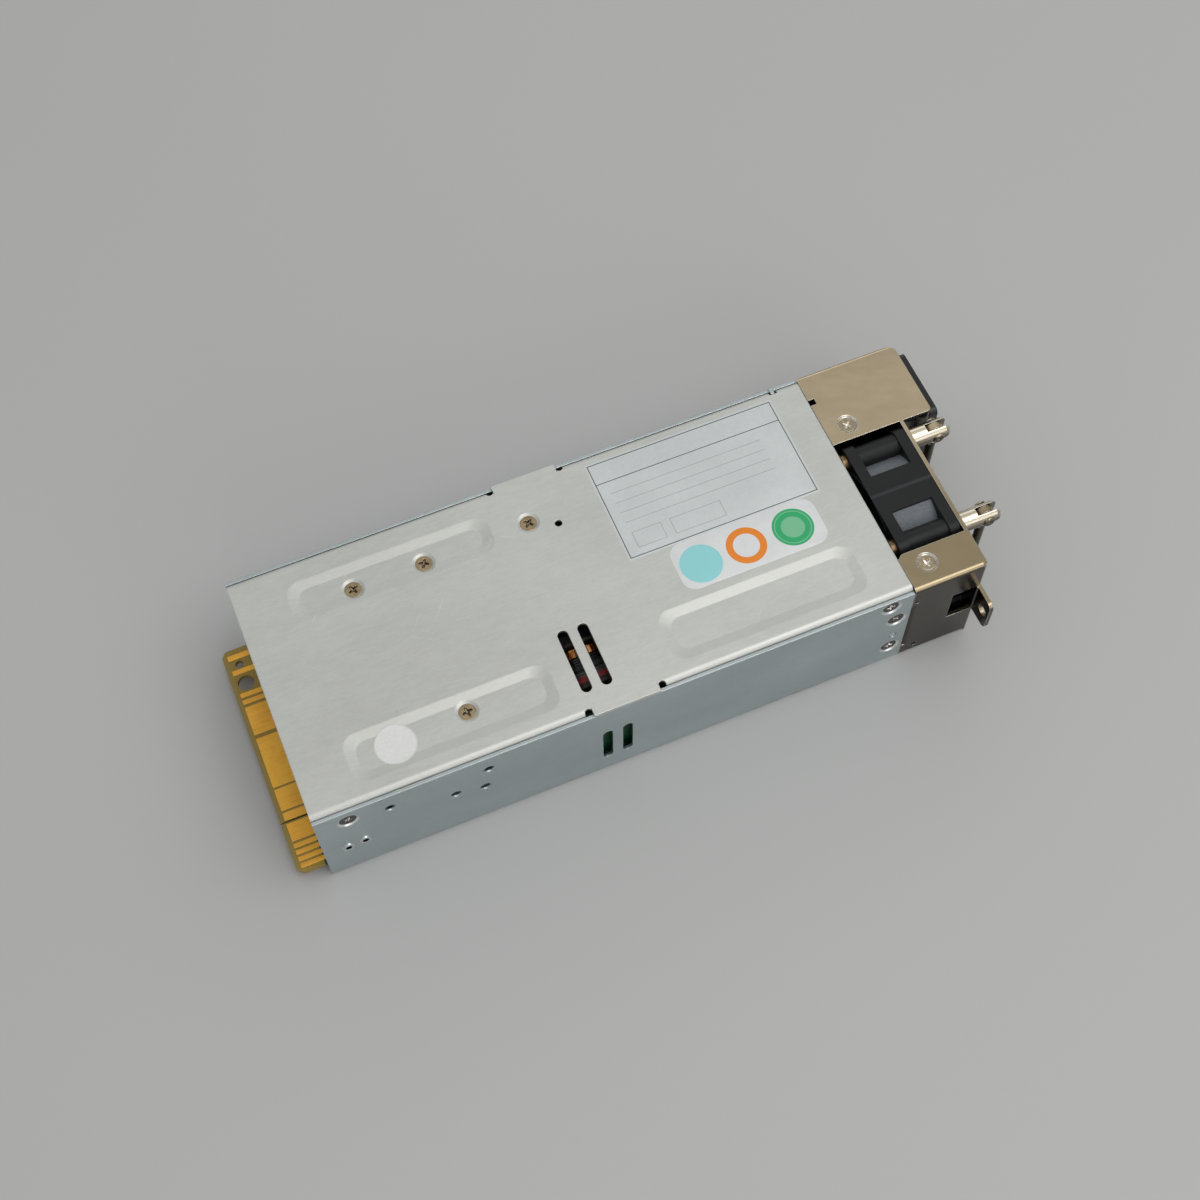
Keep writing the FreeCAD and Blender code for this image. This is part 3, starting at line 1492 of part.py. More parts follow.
# ---- heat sinks and power devices -------------------------------------------------------------
def sink_section(offset, height, away):
    """Section of a heat sink: upright web, cap and foot, fins on the side that faces away."""
    half = sink_width / 2
    web = rectangle(-sink_web / 2, sink_web / 2, board_top, height)
    foot = board_top + sink_foot
    parts = [rectangle(-half, half, height - sink_cap, height),
             rectangle(-sink_web / 2, half, board_top, foot)]
    room = height - sink_cap - foot
    for step in range(sink_fins):
        low = foot + room * (step + 1) / (sink_fins + 1) - sink_fin / 2
        parts.append(rectangle(0, half, low, low + sink_fin))
    section = web.fuse(parts)
    if away < 0:
        section = section.mirror(ZERO, ALONG)
    section.translate(point(offset, 0))
    return section.removeSplitter()


def sink(offset, start, end, height, away):
    return prism(sink_section(offset, height, away).Faces[0], start, end, "yz")


def sink_screw_cuts():
    """Threaded holes and dimple reliefs for the screws that come down through the cover."""
    cuts = []
    for x, y in cover_screw_places:
        seat = cover_screw_seat(x, y)
        low = seat.z - screw_length - 0.5
        relief = seat.z - cover_gauge - sink_relief
        cuts.append(rod(shank, low, body_height, point(x, y)))
        cuts.append(rod(dimple_width / 2 + 0.3, relief, body_height, point(x, y)))
    return cuts


def far_heatsink():
    body = sink(far_sink_offset, rear + sink_start, far_sink_end, emboss_under, 1)
    return whole(body.cut(sink_screw_cuts()))


def near_heatsink():
    body = sink(near_sink_offset, rear + sink_start, near_sink_end, emboss_under, -1)
    return whole(body.cut(sink_screw_cuts()))


def input_heatsink():
    return whole(sink(input_sink_offset, front - input_sink_start, front - input_sink_end,
                      cover_under - input_sink_room, -1))


def leads(x, y, low, high, count):
    """Row of straight leads down to the board."""
    first = x - lead_pitch * (count - 1) / 2
    half = lead_width / 2
    return [block(first + lead_pitch * step - half, first + lead_pitch * step + half,
                  y - 0.3, y + 0.3, low, high) for step in range(count)]


def transistor(x, face, away):
    """Power transistor with its back on a heat sink's web at y = face."""
    length, depth, height = transistor_size
    gauge, rise = transistor_tab
    low = board_top + transistor_lift
    top = low + height
    start = x - length / 2
    body = block(start, start + length, *sorted((face, face + away * depth)), low, top)
    tab = block(start, start + length, *sorted((face, face + away * gauge)), top, top + rise)
    pins = leads(x, face + away * depth / 2, board_top, low + 1.0, 3)
    return whole(body.fuse([tab] + pins))


def power_transistors():
    """Transistors along the inner faces of the two rear heat sinks."""
    solids = []
    start = rear + sink_start
    for offset, end, away in ((far_sink_offset, far_sink_end, -1), (near_sink_offset, near_sink_end, 1)):
        count = int((end - start) / transistor_pitch)
        for step in range(count):
            x = start + (end - start) * (step + 0.5) / count
            solids.append(transistor(x, offset + away * sink_web / 2, away))
    return group(solids)


def bridge_rectifier():
    length, depth, height = bridge_size
    x = front - input_sink_end - bridge_inset - length / 2
    low = board_top + transistor_lift
    body = block(x - length / 2, x + length / 2, bridge_face, bridge_far, low, low + height)
    pins = leads(x, bridge_face + depth / 2, board_top, low + 1.0, 4)
    return whole(body.fuse(pins))


# ---- transformer and control board ------------------------------------------------------------
def core_low():
    return board_top + core_lift


def core_half(away):
    """E-shaped half of the ferrite core, its legs pointing to the middle."""
    x, y = transformer_centre
    far = y + away * core_breadth / 2
    edge = y + away * core_joint / 2
    back = far - away * core_back
    half = core_length / 2
    legs = [(x - half, x - half + core_side_leg), (x - core_centre_leg / 2, x + core_centre_leg / 2),
            (x + half - core_side_leg, x + half)]
    shape = rectangle(x - half, x + half, *sorted((back, far)))
    shape = shape.fuse([rectangle(a, b, *sorted((edge, back))) for a, b in legs])
    return prism(shape.removeSplitter().Faces[0], core_low(), core_low() + core_depth)


def transformer_core():
    return group([core_half(-1), core_half(1)])


def sleeve(low_y, high_y, inner, outer):
    """Rounded square sleeve round the centre leg: walls between two distances from it."""
    x = transformer_centre[0]
    rings = []
    for grow in (outer, inner):
        half = core_centre_leg / 2 + grow
        rings.append(rectangle(x - half, x + half, core_low() - grow, core_low() + core_depth + grow,
                               max(grow - 0.3, 0)))
    return prism(rings[0].cut(rings[1]), low_y, high_y, "xz")


def window_span():
    """(low y, high y) of the core's window."""
    y = transformer_centre[1]
    reach = core_breadth / 2 - core_back
    return y - reach, y + reach


def transformer_bobbin():
    """Coil former with two end flanges and a foot under each end of the core."""
    low, high = window_span()
    x, y = transformer_centre
    body = sleeve(low, high, 0.05, bobbin_wall)
    reach = winding_wall + bobbin_wall
    ends = [sleeve(low, low + 1.0, 0.05, reach), sleeve(high - 1.0, high, 0.05, reach)]
    half = core_length / 2 - 1
    feet = [block(x - half, x + half, a, b, board_top, core_low())
            for a, b in ((y - core_breadth / 2, low + 1.0), (high - 1.0, y + core_breadth / 2))]
    return whole(body.fuse(ends + feet))


def transformer_winding():
    low, high = window_span()
    return sleeve(low + 1.0 + winding_gap, high - 1.0 - winding_gap, bobbin_wall, winding_wall)


def transformer_tape():
    """Bands of tape round the winding."""
    bands = []
    for place, width in tape_bands:
        y = transformer_centre[1] + place
        bands.append(sleeve(y - width / 2, y + width / 2, winding_wall, winding_wall + tape_gauge))
    return group(bands)


def control_circuit_board():
    start, end, height = control_board
    y = control_board_offset
    return block(start, end, y - control_board_gauge / 2, y + control_board_gauge / 2,
                 board_top, board_top + height)


def control_chips():
    """Small chips and parts on the control board's inner and outer faces."""
    start, _, height = control_board
    top = board_top + height
    chips = []
    for away, (along, length, rise, drop, tall) in [(1, inner_chip)] + [(-1, chip) for chip in outer_chips]:
        face = control_board_offset + away * control_board_gauge / 2
        chips.append(block(start + along, start + along + length, *sorted((face, face + away * rise)),
                           top - drop - tall, top - drop))
    return group(chips)


# ---- capacitors, chokes and small parts -------------------------------------------------------
def bulk_axis(x):
    return point(x, bulk_offset, bulk_low + bulk_width / 2)


def bulk_capacitor():
    """Large capacitor lying along the board, with the crimped groove near its end."""
    radius = bulk_width / 2
    edge = 1.2
    groove = bulk_length - 4.0
    profile = [(0, 0), (radius - edge, 0), (radius, edge), (radius, groove - 1), (radius - 0.8, groove),
               (radius, groove + 1), (radius, bulk_length - 0.8), (radius - 1.6, bulk_length),
               (radius - 1.6, bulk_length - 0.6), (0, bulk_length - 0.6)]
    return turned(profile, bulk_axis(front - bulk_start), ALONG)


def capacitor_cradle():
    """Moulded saddle that holds the large capacitor off the board."""
    start = front - bulk_start + (bulk_length - cradle_length) / 2
    half = cradle_width / 2
    saddle = block(start, start + cradle_length, bulk_offset - half, bulk_offset + half,
                   board_top, board_top + cradle_height)
    return whole(saddle.cut(rod(bulk_width / 2 + 0.02, -5, cradle_length + 10, bulk_axis(start), ALONG)))


def output_capacitors():
    """Row of cans behind the rear grille."""
    radius = output_can_width / 2
    top = output_can_height
    profile = [(0, 0), (radius - 0.4, 0), (radius - 0.4, 1.2), (radius, 1.6), (radius, top - 0.4),
               (radius - 0.4, top), (0, top)]
    x = rear + output_can_inset
    return group([turned(profile, point(x, y, board_top)) for y in output_can_places])


def choke_core(place, sizes, axis, low):
    """Ring core of a choke."""
    inner, outer, height = sizes
    return tube(inner, outer, 0, height, point(place[0], place[1], low), axis)


def choke_winding(place, sizes, axis, low, gaps):
    """Wire wound over a ring core: a hollow ring round it, open at its gaps."""
    inner, outer, height = sizes
    gap = toroid_gap
    wire = choke_wire
    skin = [(inner - wire, 0), (inner, -wire), (outer, -wire), (outer + wire, 0),
            (outer + wire, height), (outer, height + wire), (inner, height + wire),
            (inner - wire, height)]
    coil = turned(skin).cut(tube(inner - gap, outer + gap, -gap, height + gap))
    for angle in gaps:
        wedge = block(0, outer + wire + 1, -choke_gap_width / 2, choke_gap_width / 2,
                      -wire - 1, height + wire + 1)
        wedge.rotate(ZERO, UP, angle)
        coil = coil.cut(wedge)
    return group([placed(solid, point(place[0], place[1], low), axis) for solid in coil.Solids])


def flat_choke_low():
    return board_top + choke_wire


def output_choke():
    place = (rear + output_choke_place[0], output_choke_place[1])
    return place, output_choke_core, UP, flat_choke_low(), (180,)


def filling_ring(near, far, bore, height):
    """Middle line and core sizes of a choke whose winding fills the room between two limits."""
    outer = (far - near) / 2 - choke_wire
    return (near + far) / 2, (outer * bore, outer, height)


def pfc_choke():
    far_gap, near_gap = pfc_choke_gaps
    y, sizes = filling_ring(bridge_far + near_gap, wall_inside - far_gap, pfc_choke_bore, pfc_choke_height)
    end = front - suppressor_insets[0] - suppressor_length / 2 - pfc_choke_room
    return (end - sizes[1] - choke_wire, y), sizes, UP, flat_choke_low(), (0,)


def line_choke():
    y, sizes = filling_ring(fuse_far, wall_inside - line_choke_gap, line_choke_bore, line_choke_height)
    low = board_top + sizes[1] + choke_wire
    return (front - line_choke_inset, y), sizes, ALONG, low, (90, 270)


def cores_of(choke):
    place, sizes, axis, low, _ = choke
    return choke_core(place, sizes, axis, low)


def suppressor_capacitors():
    """Two box capacitors across the incoming line."""
    nears = (fuse_far, header_middle() + header_size[1] / 2 + header_room)
    boxes = []
    for inset, gap, near in zip(suppressor_insets, suppressor_gaps, nears):
        x = front - inset
        face = rectangle(x - suppressor_length / 2, x + suppressor_length / 2, near, wall_inside - gap, 0.8)
        boxes.append(prism(face, board_top, board_top + suppressor_height))
    return group(boxes)


def input_fuse():
    """Glass fuse with its metal end caps and the clips that stand it on the board."""
    radius = fuse_width / 2
    thin = radius - 0.3
    low = board_top + radius + fuse_lift
    x = front - fuse_inset - fuse_length
    profile = [(0, 0), (radius, 0), (radius, fuse_cap), (thin, fuse_cap), (thin, fuse_length - fuse_cap),
               (radius, fuse_length - fuse_cap), (radius, fuse_length), (0, fuse_length)]
    body = turned(profile, point(x, fuse_offset, low), ALONG)
    breadth, length = fuse_clip
    clips = [block(x + at, x + at + length, fuse_offset - breadth / 2, fuse_offset + breadth / 2,
                   board_top, low) for at in (1.0, fuse_length - 1.0 - length)]
    return whole(body.fuse(clips))


def fan_header():
    """Pin header that the fan's leads plug into."""
    length, breadth, height = header_size
    x = front - header_inset
    y = header_middle()
    return block(x - length / 2, x + length / 2, y - breadth / 2, y + breadth / 2,
                 board_top, board_top + height)


def header_middle():
    return sum(fan_lead_places()) / fan_wires


def fan_leads():
    """Leads from the fan's outlet flange, out through its notch and up into the header."""
    start = fan_back + fan_depth - fan_flange
    low = fan_height - fan_size / 2 + fan_wire_lift
    rise = fan_back - fan_wire_standoff
    end = front - header_inset
    plug = board_top + header_size[2]
    high = plug + fan_wire_rise
    return group([wire([point(start, y, low), point(rise, y, low), point(rise, y, high),
                        point(end, y, high), point(end, y, plug)], fan_wire, fan_wire_bend)
                  for y in fan_lead_places()])


def inlet_wires():
    """Wires from the inlet's three tabs, back and down to the edge of the board."""
    start = box_front - inlet_body_depth - terminal_length
    landing = front - inlet_wire_inset
    wires = []
    for (y, z), shift in zip(pin_places(), inlet_wire_shifts):
        route = [point(start, y, z), point(landing, y + shift, z), point(landing, y + shift, board_top)]
        if shift:
            route.insert(1, point(start - inlet_wire_start, y, z))
        wires.append(wire(route, inlet_wire, inlet_wire_bend))
    return group(wires)


def pieces():
    """Every separate piece, by its name."""
    return {
        "chassis_base": chassis_base(),
        "top_cover": top_cover(),
        "rear_grille": rear_grille(),
        "grille_rivets": grille_rivets(),
        "cover_screws": cover_screws(),
        "side_screws": side_screws(),
        "front_bracket": front_bracket(),
        "bracket_screws": bracket_screws(),
        "status_lamp": status_lamp(),
        "ac_inlet_housing": ac_inlet_housing(),
        "ac_inlet_pins": ac_inlet_pins(),
        "fan_frame": fan_frame(),
        "fan_rotor": fan_rotor(),
        "fan_shaft": fan_shaft(),
        "fan_magnet": fan_magnet(),
        "fan_bearings": fan_bearings(),
        "fan_stator": fan_stator(),
        "fan_screws": fan_screws(),
        "fan_nuts": fan_nuts(),
        "handle_posts": handle_posts(),
        "handle_rivets": handle_rivets(),
        "handle_bail": handle_bail(),
        "main_board": main_board(),
        "edge_contacts": edge_contacts(),
        "board_standoffs": board_standoffs(),
        "board_screws": board_screws(),
        "insulator_sheet": insulator_sheet(),
        "far_heatsink": far_heatsink(),
        "near_heatsink": near_heatsink(),
        "input_heatsink": input_heatsink(),
        "power_transistors": power_transistors(),
        "bridge_rectifier": bridge_rectifier(),
        "transformer_core": transformer_core(),
        "transformer_bobbin": transformer_bobbin(),
        "transformer_winding": transformer_winding(),
        "transformer_tape": transformer_tape(),
        "control_circuit_board": control_circuit_board(),
        "control_chips": control_chips(),
        "bulk_capacitor": bulk_capacitor(),
        "capacitor_cradle": capacitor_cradle(),
        "output_capacitors": output_capacitors(),
        "output_choke_core": cores_of(output_choke()),
        "output_choke_winding": choke_winding(*output_choke()),
        "pfc_choke_core": cores_of(pfc_choke()),
        "pfc_choke_winding": choke_winding(*pfc_choke()),
        "line_choke_core": cores_of(line_choke()),
        "line_choke_winding": choke_winding(*line_choke()),
        "suppressor_capacitors": suppressor_capacitors(),
        "input_fuse": input_fuse(),
        "fan_header": fan_header(),
        "fan_leads": fan_leads(),
        "inlet_wires": inlet_wires(),
    }


os.makedirs("parts", exist_ok=True)
for name, shape in pieces().items():
    shape.exportStep(f"parts/{name}.step")
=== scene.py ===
import math

import bmesh
import bpy
import numpy as np
from mathutils import Matrix, Vector


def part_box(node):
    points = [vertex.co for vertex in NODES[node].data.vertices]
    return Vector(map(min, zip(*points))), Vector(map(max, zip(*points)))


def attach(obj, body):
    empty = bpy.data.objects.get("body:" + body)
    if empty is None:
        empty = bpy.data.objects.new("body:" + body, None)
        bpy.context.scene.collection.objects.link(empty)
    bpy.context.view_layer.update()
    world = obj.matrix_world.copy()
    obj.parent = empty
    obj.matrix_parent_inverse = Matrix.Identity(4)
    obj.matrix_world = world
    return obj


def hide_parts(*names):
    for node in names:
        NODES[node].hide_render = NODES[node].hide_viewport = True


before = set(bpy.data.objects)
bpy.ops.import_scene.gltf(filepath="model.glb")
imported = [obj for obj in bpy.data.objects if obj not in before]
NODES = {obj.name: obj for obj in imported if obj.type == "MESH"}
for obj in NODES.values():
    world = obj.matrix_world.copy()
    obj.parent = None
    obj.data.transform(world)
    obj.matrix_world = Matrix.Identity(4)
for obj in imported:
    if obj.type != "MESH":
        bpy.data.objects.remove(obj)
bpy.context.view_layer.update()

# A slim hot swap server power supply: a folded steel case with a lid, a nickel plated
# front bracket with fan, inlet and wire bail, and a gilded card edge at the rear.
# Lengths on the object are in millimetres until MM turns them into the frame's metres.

MM = 0.001


# ---------------------------------------------------------------- places on the object
def ends(node):
    """The low and the high corner of a node's box, in millimetres."""
    return [np.array(corner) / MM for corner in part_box(node)]


def limit(node, side, letter):
    """Where a node's low (0) or high (1) side is along an axis, to the micrometre."""
    return round(float(ends(node)[side]["xyz".index(letter)]), 3)


lid_top = limit("top_cover", 1, "z")
side_face = limit("chassis_base", 1, "y")      # of the far wall; the near wall's is at -side_face
lacquer_end = limit("chassis_base", 0, "x") - 0.75    # the board is bare from here to its rear
board_under, board_top = limit("main_board", 0, "z"), limit("main_board", 1, "z")

film = 0.05                      # how far a sticker stands above the sheet
gilt = 0.06                      # how far a contact stands above the laminate
dish = 0.3                       # how deep the side and bracket screws lie
dish_radius = 3.2                # and the rim of the dishes round them

form_middle = -26.8              # Y of the middle of the near pressed forms
form_floor = (39.8, 4.5)         # Z of their flat floor, and half its width
form_slope = 3.0                 # how wide they slope up to the lid on either side
slot_middle = -4.6               # X of the middle of the lid's pair of slots
slot_reach = 5.6                 # and how far the pair reaches from there
rim_inside = 36.0                # Y either way where the lid's rolled rims begin

# Stickers: a box is its ends in X, then in Y; a round one its middle and radius.
label_box = (19.6, 81.0, 0.9, 36.3)
strip_box = (30.9, 77.0, -15.2, 0.9)
blue_mark, orange_mark, green_mark = (38.4, -7.8), (53.0, -7.4), (68.1, -7.1)
round_seal = (-62.4, form_middle, 6.1)

# Fasteners: the middles of their heads, by the two or three axes that place them.
dent_head, plain_head = 39.5, 40.1             # Z of heads on the lid's forms, and off them
lid_screws = [(-57.4, 24.1, dent_head), (-35.6, 24.2, dent_head), (-40.6, -25.1, dent_head),
              (-2.7, 24.6, plain_head)]
wall_screws = [(-81.75, 33.6), (84.15, 35.6), (86.95, 26.5), (86.95, 9.2)]
bracket_seats = [(98.7, -32.9), (98.7, 19.1)]
fan_seats = [(-23.0, 4.2), (9.0, 4.2)]
stud_place = (87.2, 16.4)
rivet_bores = [(-84.1, 16.3), (-79.0, 17.0)]
lamp_tip = 113.5                 # X where the status lamp's clear tip begins

# Bands on the windings under the lid's slots, by Y.
red_tape = (-27.1, -25.0)
amber_film = -19.0               # where it begins, and runs on to the far end
grey_wrap = (-25.4, -23.3)
bare_copper = -18.6              # where the wrapping ends


# ---------------------------------------------------------------- finishes
class Finish:
    """One material, built up node by node in front of a Principled shader."""

    def __init__(self, name, colour, roughness, metallic=0.0, **sockets):
        self.material = bpy.data.materials.new(name)
        self.material.use_nodes = True
        tree = self.material.node_tree
        self.nodes, self.links = tree.nodes, tree.links
        self.shader = self.nodes["Principled BSDF"]
        self.paint, self.rough, self.relief = (*colour, 1.0), roughness, None
        self.feed(self.shader.inputs["Metallic"], metallic)
        for socket, value in sockets.items():
            self.feed(self.shader.inputs[socket.replace("_", " ")], value)
        self.place = self.add("ShaderNodeTexCoord").outputs["Object"]

    def feed(self, socket, value):
        """Links a socket to a socket, or sets its number."""
        if isinstance(value, bpy.types.NodeSocket):
            self.links.new(value, socket)
        else:
            socket.default_value = value

    def add(self, kind, inputs=(), **settings):
        """Adds a node, with settings by name and inputs as pairs of socket and value."""
        node = self.nodes.new(kind)
        for key, value in settings.items():
            setattr(node, key, value)
        for key, value in inputs:
            self.feed(node.inputs[key], value)
        return node

    def stretched(self, scale, turn=0.0, shift=(0.0, 0.0, 0.0)):
        """The place on the object, turned about Z and multiplied axis by axis, per metre."""
        turned = self.add("ShaderNodeMapping", [("Vector", self.place), ("Rotation", (0.0, 0.0, turn))])
        return self.add("ShaderNodeMapping", [
            ("Vector", turned.outputs[0]), ("Scale", scale), ("Location", shift)]).outputs[0]

    def noise(self, scale, detail=2.0, roughness=0.5, turn=0.0, shift=(0.0, 0.0, 0.0)):
        """Cloudy noise, 0 to 1; scale is cells per metre, one number or one for each axis."""
        scale = scale if isinstance(scale, tuple) else (scale,) * 3
        return self.add("ShaderNodeTexNoise", [
            ("Vector", self.stretched(scale, turn, shift)), ("Scale", 1.0),
            ("Detail", detail), ("Roughness", roughness)]).outputs[0]

    def cells(self, scale, feature="F1", shift=(0.0, 0.0, 0.0)):
        """Distance to the nearest of scattered points, in cells."""
        scale = scale if isinstance(scale, tuple) else (scale,) * 3
        return self.add("ShaderNodeTexVoronoi", [
            ("Vector", self.stretched(scale, 0.0, shift)), ("Scale", 1.0)],
            feature=feature).outputs["Distance"]

    def span(self, value, low, high, start=0.0, end=1.0):
        """Smoothly carries value from low..high onto start..end, and holds it there."""
        return self.add("ShaderNodeMapRange", [
            (0, value), (1, low), (2, high), (3, start), (4, end)],
            interpolation_type="SMOOTHSTEP").outputs[0]

    def band(self, value, low, high, soft):
        """1 from low to high and 0 outside, with soft slopes inside both ends."""
        return self.times(self.span(value, low, low + soft), self.span(value, high, high - soft))

    def maths(self, operation, a, b=0.0):
        """One arithmetic step."""
        return self.add("ShaderNodeMath", [(0, a), (1, b)], operation=operation).outputs[0]

    def times(self, a, b):
        """The product; of two masks, where both are 1."""
        return self.maths("MULTIPLY", a, b)

    def blend(self, share, a, b, how="MIX"):
        """Mixes two colours; share 0 is a and 1 is b."""
        a = (*a, 1.0) if isinstance(a, tuple) and len(a) == 3 else a
        b = (*b, 1.0) if isinstance(b, tuple) and len(b) == 3 else b
        return self.add("ShaderNodeMix", [(0, share), (6, a), (7, b)],
                        data_type="RGBA", blend_type=how).outputs[2]

    def axis(self, letter):
        """The place on the object along one axis, in millimetres."""
        split = self.add("ShaderNodeSeparateXYZ", [(0, self.place)]).outputs
        return self.times(split[letter], 1.0 / MM)

    def tint(self, share, colour):
        """Lays a colour over the paint where share is 1."""
        self.paint = self.blend(share, self.paint, colour)
        return self

    def shade(self, value, low, high, amount):
        """Darkens and lightens the paint by amount as value goes from low to high."""
        grey = self.span(value, low, high, 1.0 - amount, 1.0 + amount)
        self.paint = self.blend(1.0, self.paint, self.add(
            "ShaderNodeCombineColor", [(0, grey), (1, grey), (2, grey)]).outputs[0], "MULTIPLY")
        return self

    def scuff(self, value, low, high, change):
        """Adds change to the roughness as value goes from low to high."""
        self.rough = self.maths("ADD", self.rough, self.span(value, low, high, 0.0, change))
        return self

    def raise_by(self, height, depth, strength=1.0):
        """Adds relief: height 0 to 1 stands depth millimetres tall."""
        inputs = [("Height", height), ("Distance", depth * MM), ("Strength", strength)]
        if self.relief:
            inputs.append(("Normal", self.relief))
        self.relief = self.add("ShaderNodeBump", inputs).outputs[0]
        return self

    def round_edges(self, radius):
        """Rounds the look of every edge by a radius in metres, before any relief is added."""
        self.relief = self.add("ShaderNodeBevel", [("Radius", radius)], samples=4).outputs[0]
        return self

    def edges(self, radius, low=0.02, high=0.25):
        """1 along the edges and 0 on flats: how far a normal that is rounded by a radius in
        millimetres leans from the plain one."""
        rounded = self.add("ShaderNodeBevel", [("Radius", radius * MM)], samples=4).outputs[0]
        plain = self.add("ShaderNodeNewGeometry").outputs["Normal"]
        along = self.add("ShaderNodeVectorMath", [(0, rounded), (1, plain)], operation="DOT_PRODUCT")
        return self.span(self.maths("SUBTRACT", 1.0, along.outputs["Value"]), low, high)

    def made(self):
        """Joins colour, roughness and relief to the shader and hands the material over."""
        self.feed(self.shader.inputs["Base Color"], self.paint)
        self.feed(self.shader.inputs["Roughness"], self.rough)
        if self.relief:
            self.feed(self.shader.inputs["Normal"], self.relief)
        return self.material


def apart(f, value, middle):
    """How far a value is from a middle, either way."""
    return f.maths("ABSOLUTE", f.maths("SUBTRACT", value, middle))


def disc_reach(f, along, across, middle):
    """Distance in millimetres from a middle: the root of the sum of both squares."""
    a, b = f.maths("SUBTRACT", along, middle[0]), f.maths("SUBTRACT", across, middle[1])
    return f.maths("SQRT", f.maths("ADD", f.times(a, a), f.times(b, b)))


def seat_reach(f, seats, letters):
    """Distance in millimetres from the nearest of the seats, which lie by the two axes of letters."""
    along, across = [f.axis(letter) for letter in letters]
    nearest = 50.0
    for seat in seats:
        nearest = f.maths("MINIMUM", nearest, disc_reach(f, along, across, seat))
    return nearest


def inked(f, away, width):
    """1 within half a line's width, with a soft edge."""
    return f.span(away, width / 2 + 0.06, width / 2 - 0.06)


def outline_mask(f, x, y, box, width):
    """1 on a rectangle's outline; the larger of the distances past its sides tells how far it is."""
    left, right, bottom, top = box
    away_x = f.maths("SUBTRACT", apart(f, x, (left + right) / 2), (right - left) / 2)
    away_y = f.maths("SUBTRACT", apart(f, y, (bottom + top) / 2), (top - bottom) / 2)
    return inked(f, f.maths("ABSOLUTE", f.maths("MAXIMUM", away_x, away_y)), width)


def rule_mask(f, x, y, height, start, end, width):
    """1 on a straight rule along X at this height on the label, from start to end."""
    return f.times(inked(f, apart(f, y, height), width), f.band(x, start, end, 0.05))


def rolled_sheet(name, colour, roughness, bright_edge, grain=0.03, haze=0.035, dished=False, seats=()):
    """Mill finished sheet: short fine dashes along X, soft haze, odd specks and brief scratches.
    A dished sheet has its pressed forms rounded widely and only its slots and rim narrowly.
    The dishes round the seats, given by X and Z, are painted bright as a painted highlight and look a
    little steeper."""
    f = Finish(name, colour, roughness, 1.0)
    f.round_edges(pressed_radius(f) if dished else 0.35 * MM)
    dashes = f.noise((230.0, 1500.0, 1500.0), 3.0, 0.6)
    fine = f.noise((700.0, 3200.0, 3200.0), 2.0, 0.5, shift=(3.0, 1.0, 7.0))
    clouds = f.noise((16.0, 30.0, 30.0), 4.0, 0.6, shift=(5.0, 2.0, 0.0))
    f.shade(dashes, 0.3, 0.7, grain).shade(fine, 0.3, 0.7, grain * 0.6).shade(clouds, 0.3, 0.7, haze)
    specks = f.span(f.cells((420.0, 700.0, 700.0)), 0.07, 0.03)
    rare = f.span(f.noise(55.0, 1.0, shift=(9.0, 4.0, 2.0)), 0.56, 0.64)
    f.tint(f.times(specks, rare), tuple(c * 0.45 for c in colour))
    hairs = f.span(f.noise((75.0, 1500.0, 1500.0), 1.0, 0.4, turn=0.5, shift=(2.0, 8.0, 1.0)), 0.77, 0.80)
    other = f.noise((60.0, 1300.0, 1300.0), 1.0, 0.4, turn=-0.9, shift=(7.0, 3.0, 5.0))
    crossing = f.span(other, 0.77, 0.80)
    handled = f.span(f.noise(26.0, 1.0, shift=(1.0, 6.0, 3.0)), 0.50, 0.58)
    scratch = f.times(f.maths("MAXIMUM", hairs, crossing), handled)
    f.tint(f.times(scratch, 0.4), tuple(min(1.0, c * 1.3) for c in colour))
    # Edges tinted bright: partly rubbed wear, partly a painted highlight.
    wear_and_highlight = f.edges(0.4, 0.01, 0.15)
    f.tint(f.times(wear_and_highlight, 0.8), bright_edge)
    f.scuff(dashes, 0.3, 0.7, 0.06).scuff(clouds, 0.35, 0.7, 0.06).scuff(wear_and_highlight, 0.0, 1.0, -0.12)
    f.raise_by(dashes, 0.004).raise_by(f.noise((14.0, 22.0, 22.0), 2.0), 0.35, 0.4)
    if seats:
        reach = seat_reach(f, seats, "XZ")
        # Painted highlight: the dishes round the seats are painted bright.
        rim = (reach, dish_radius + 0.1, dish_radius - 0.05)
        f.tint(f.span(*rim, 0.0, 0.9), (0.94, 0.95, 0.95)).scuff(*rim, -0.08)
        f.raise_by(f.span(reach, dish_radius - 0.75, dish_radius + 0.05), 0.35)
    return f.made()


def pressed_radius(f):
    """Radius in metres: wide over the lid's pressed forms, narrow by the two slots and the rim."""
    x, y = f.axis("X"), f.axis("Y")
    inside = f.span(f.maths("ABSOLUTE", y), rim_inside + 0.2, rim_inside - 0.2)
    from_slots = f.maths("ABSOLUTE", f.maths("SUBTRACT", x, slot_middle))
    off_slots = f.span(from_slots, slot_reach, slot_reach + 0.4)
    return f.span(f.times(inside, off_slots), 0.0, 1.0, 0.3 * MM, 0.55 * MM)


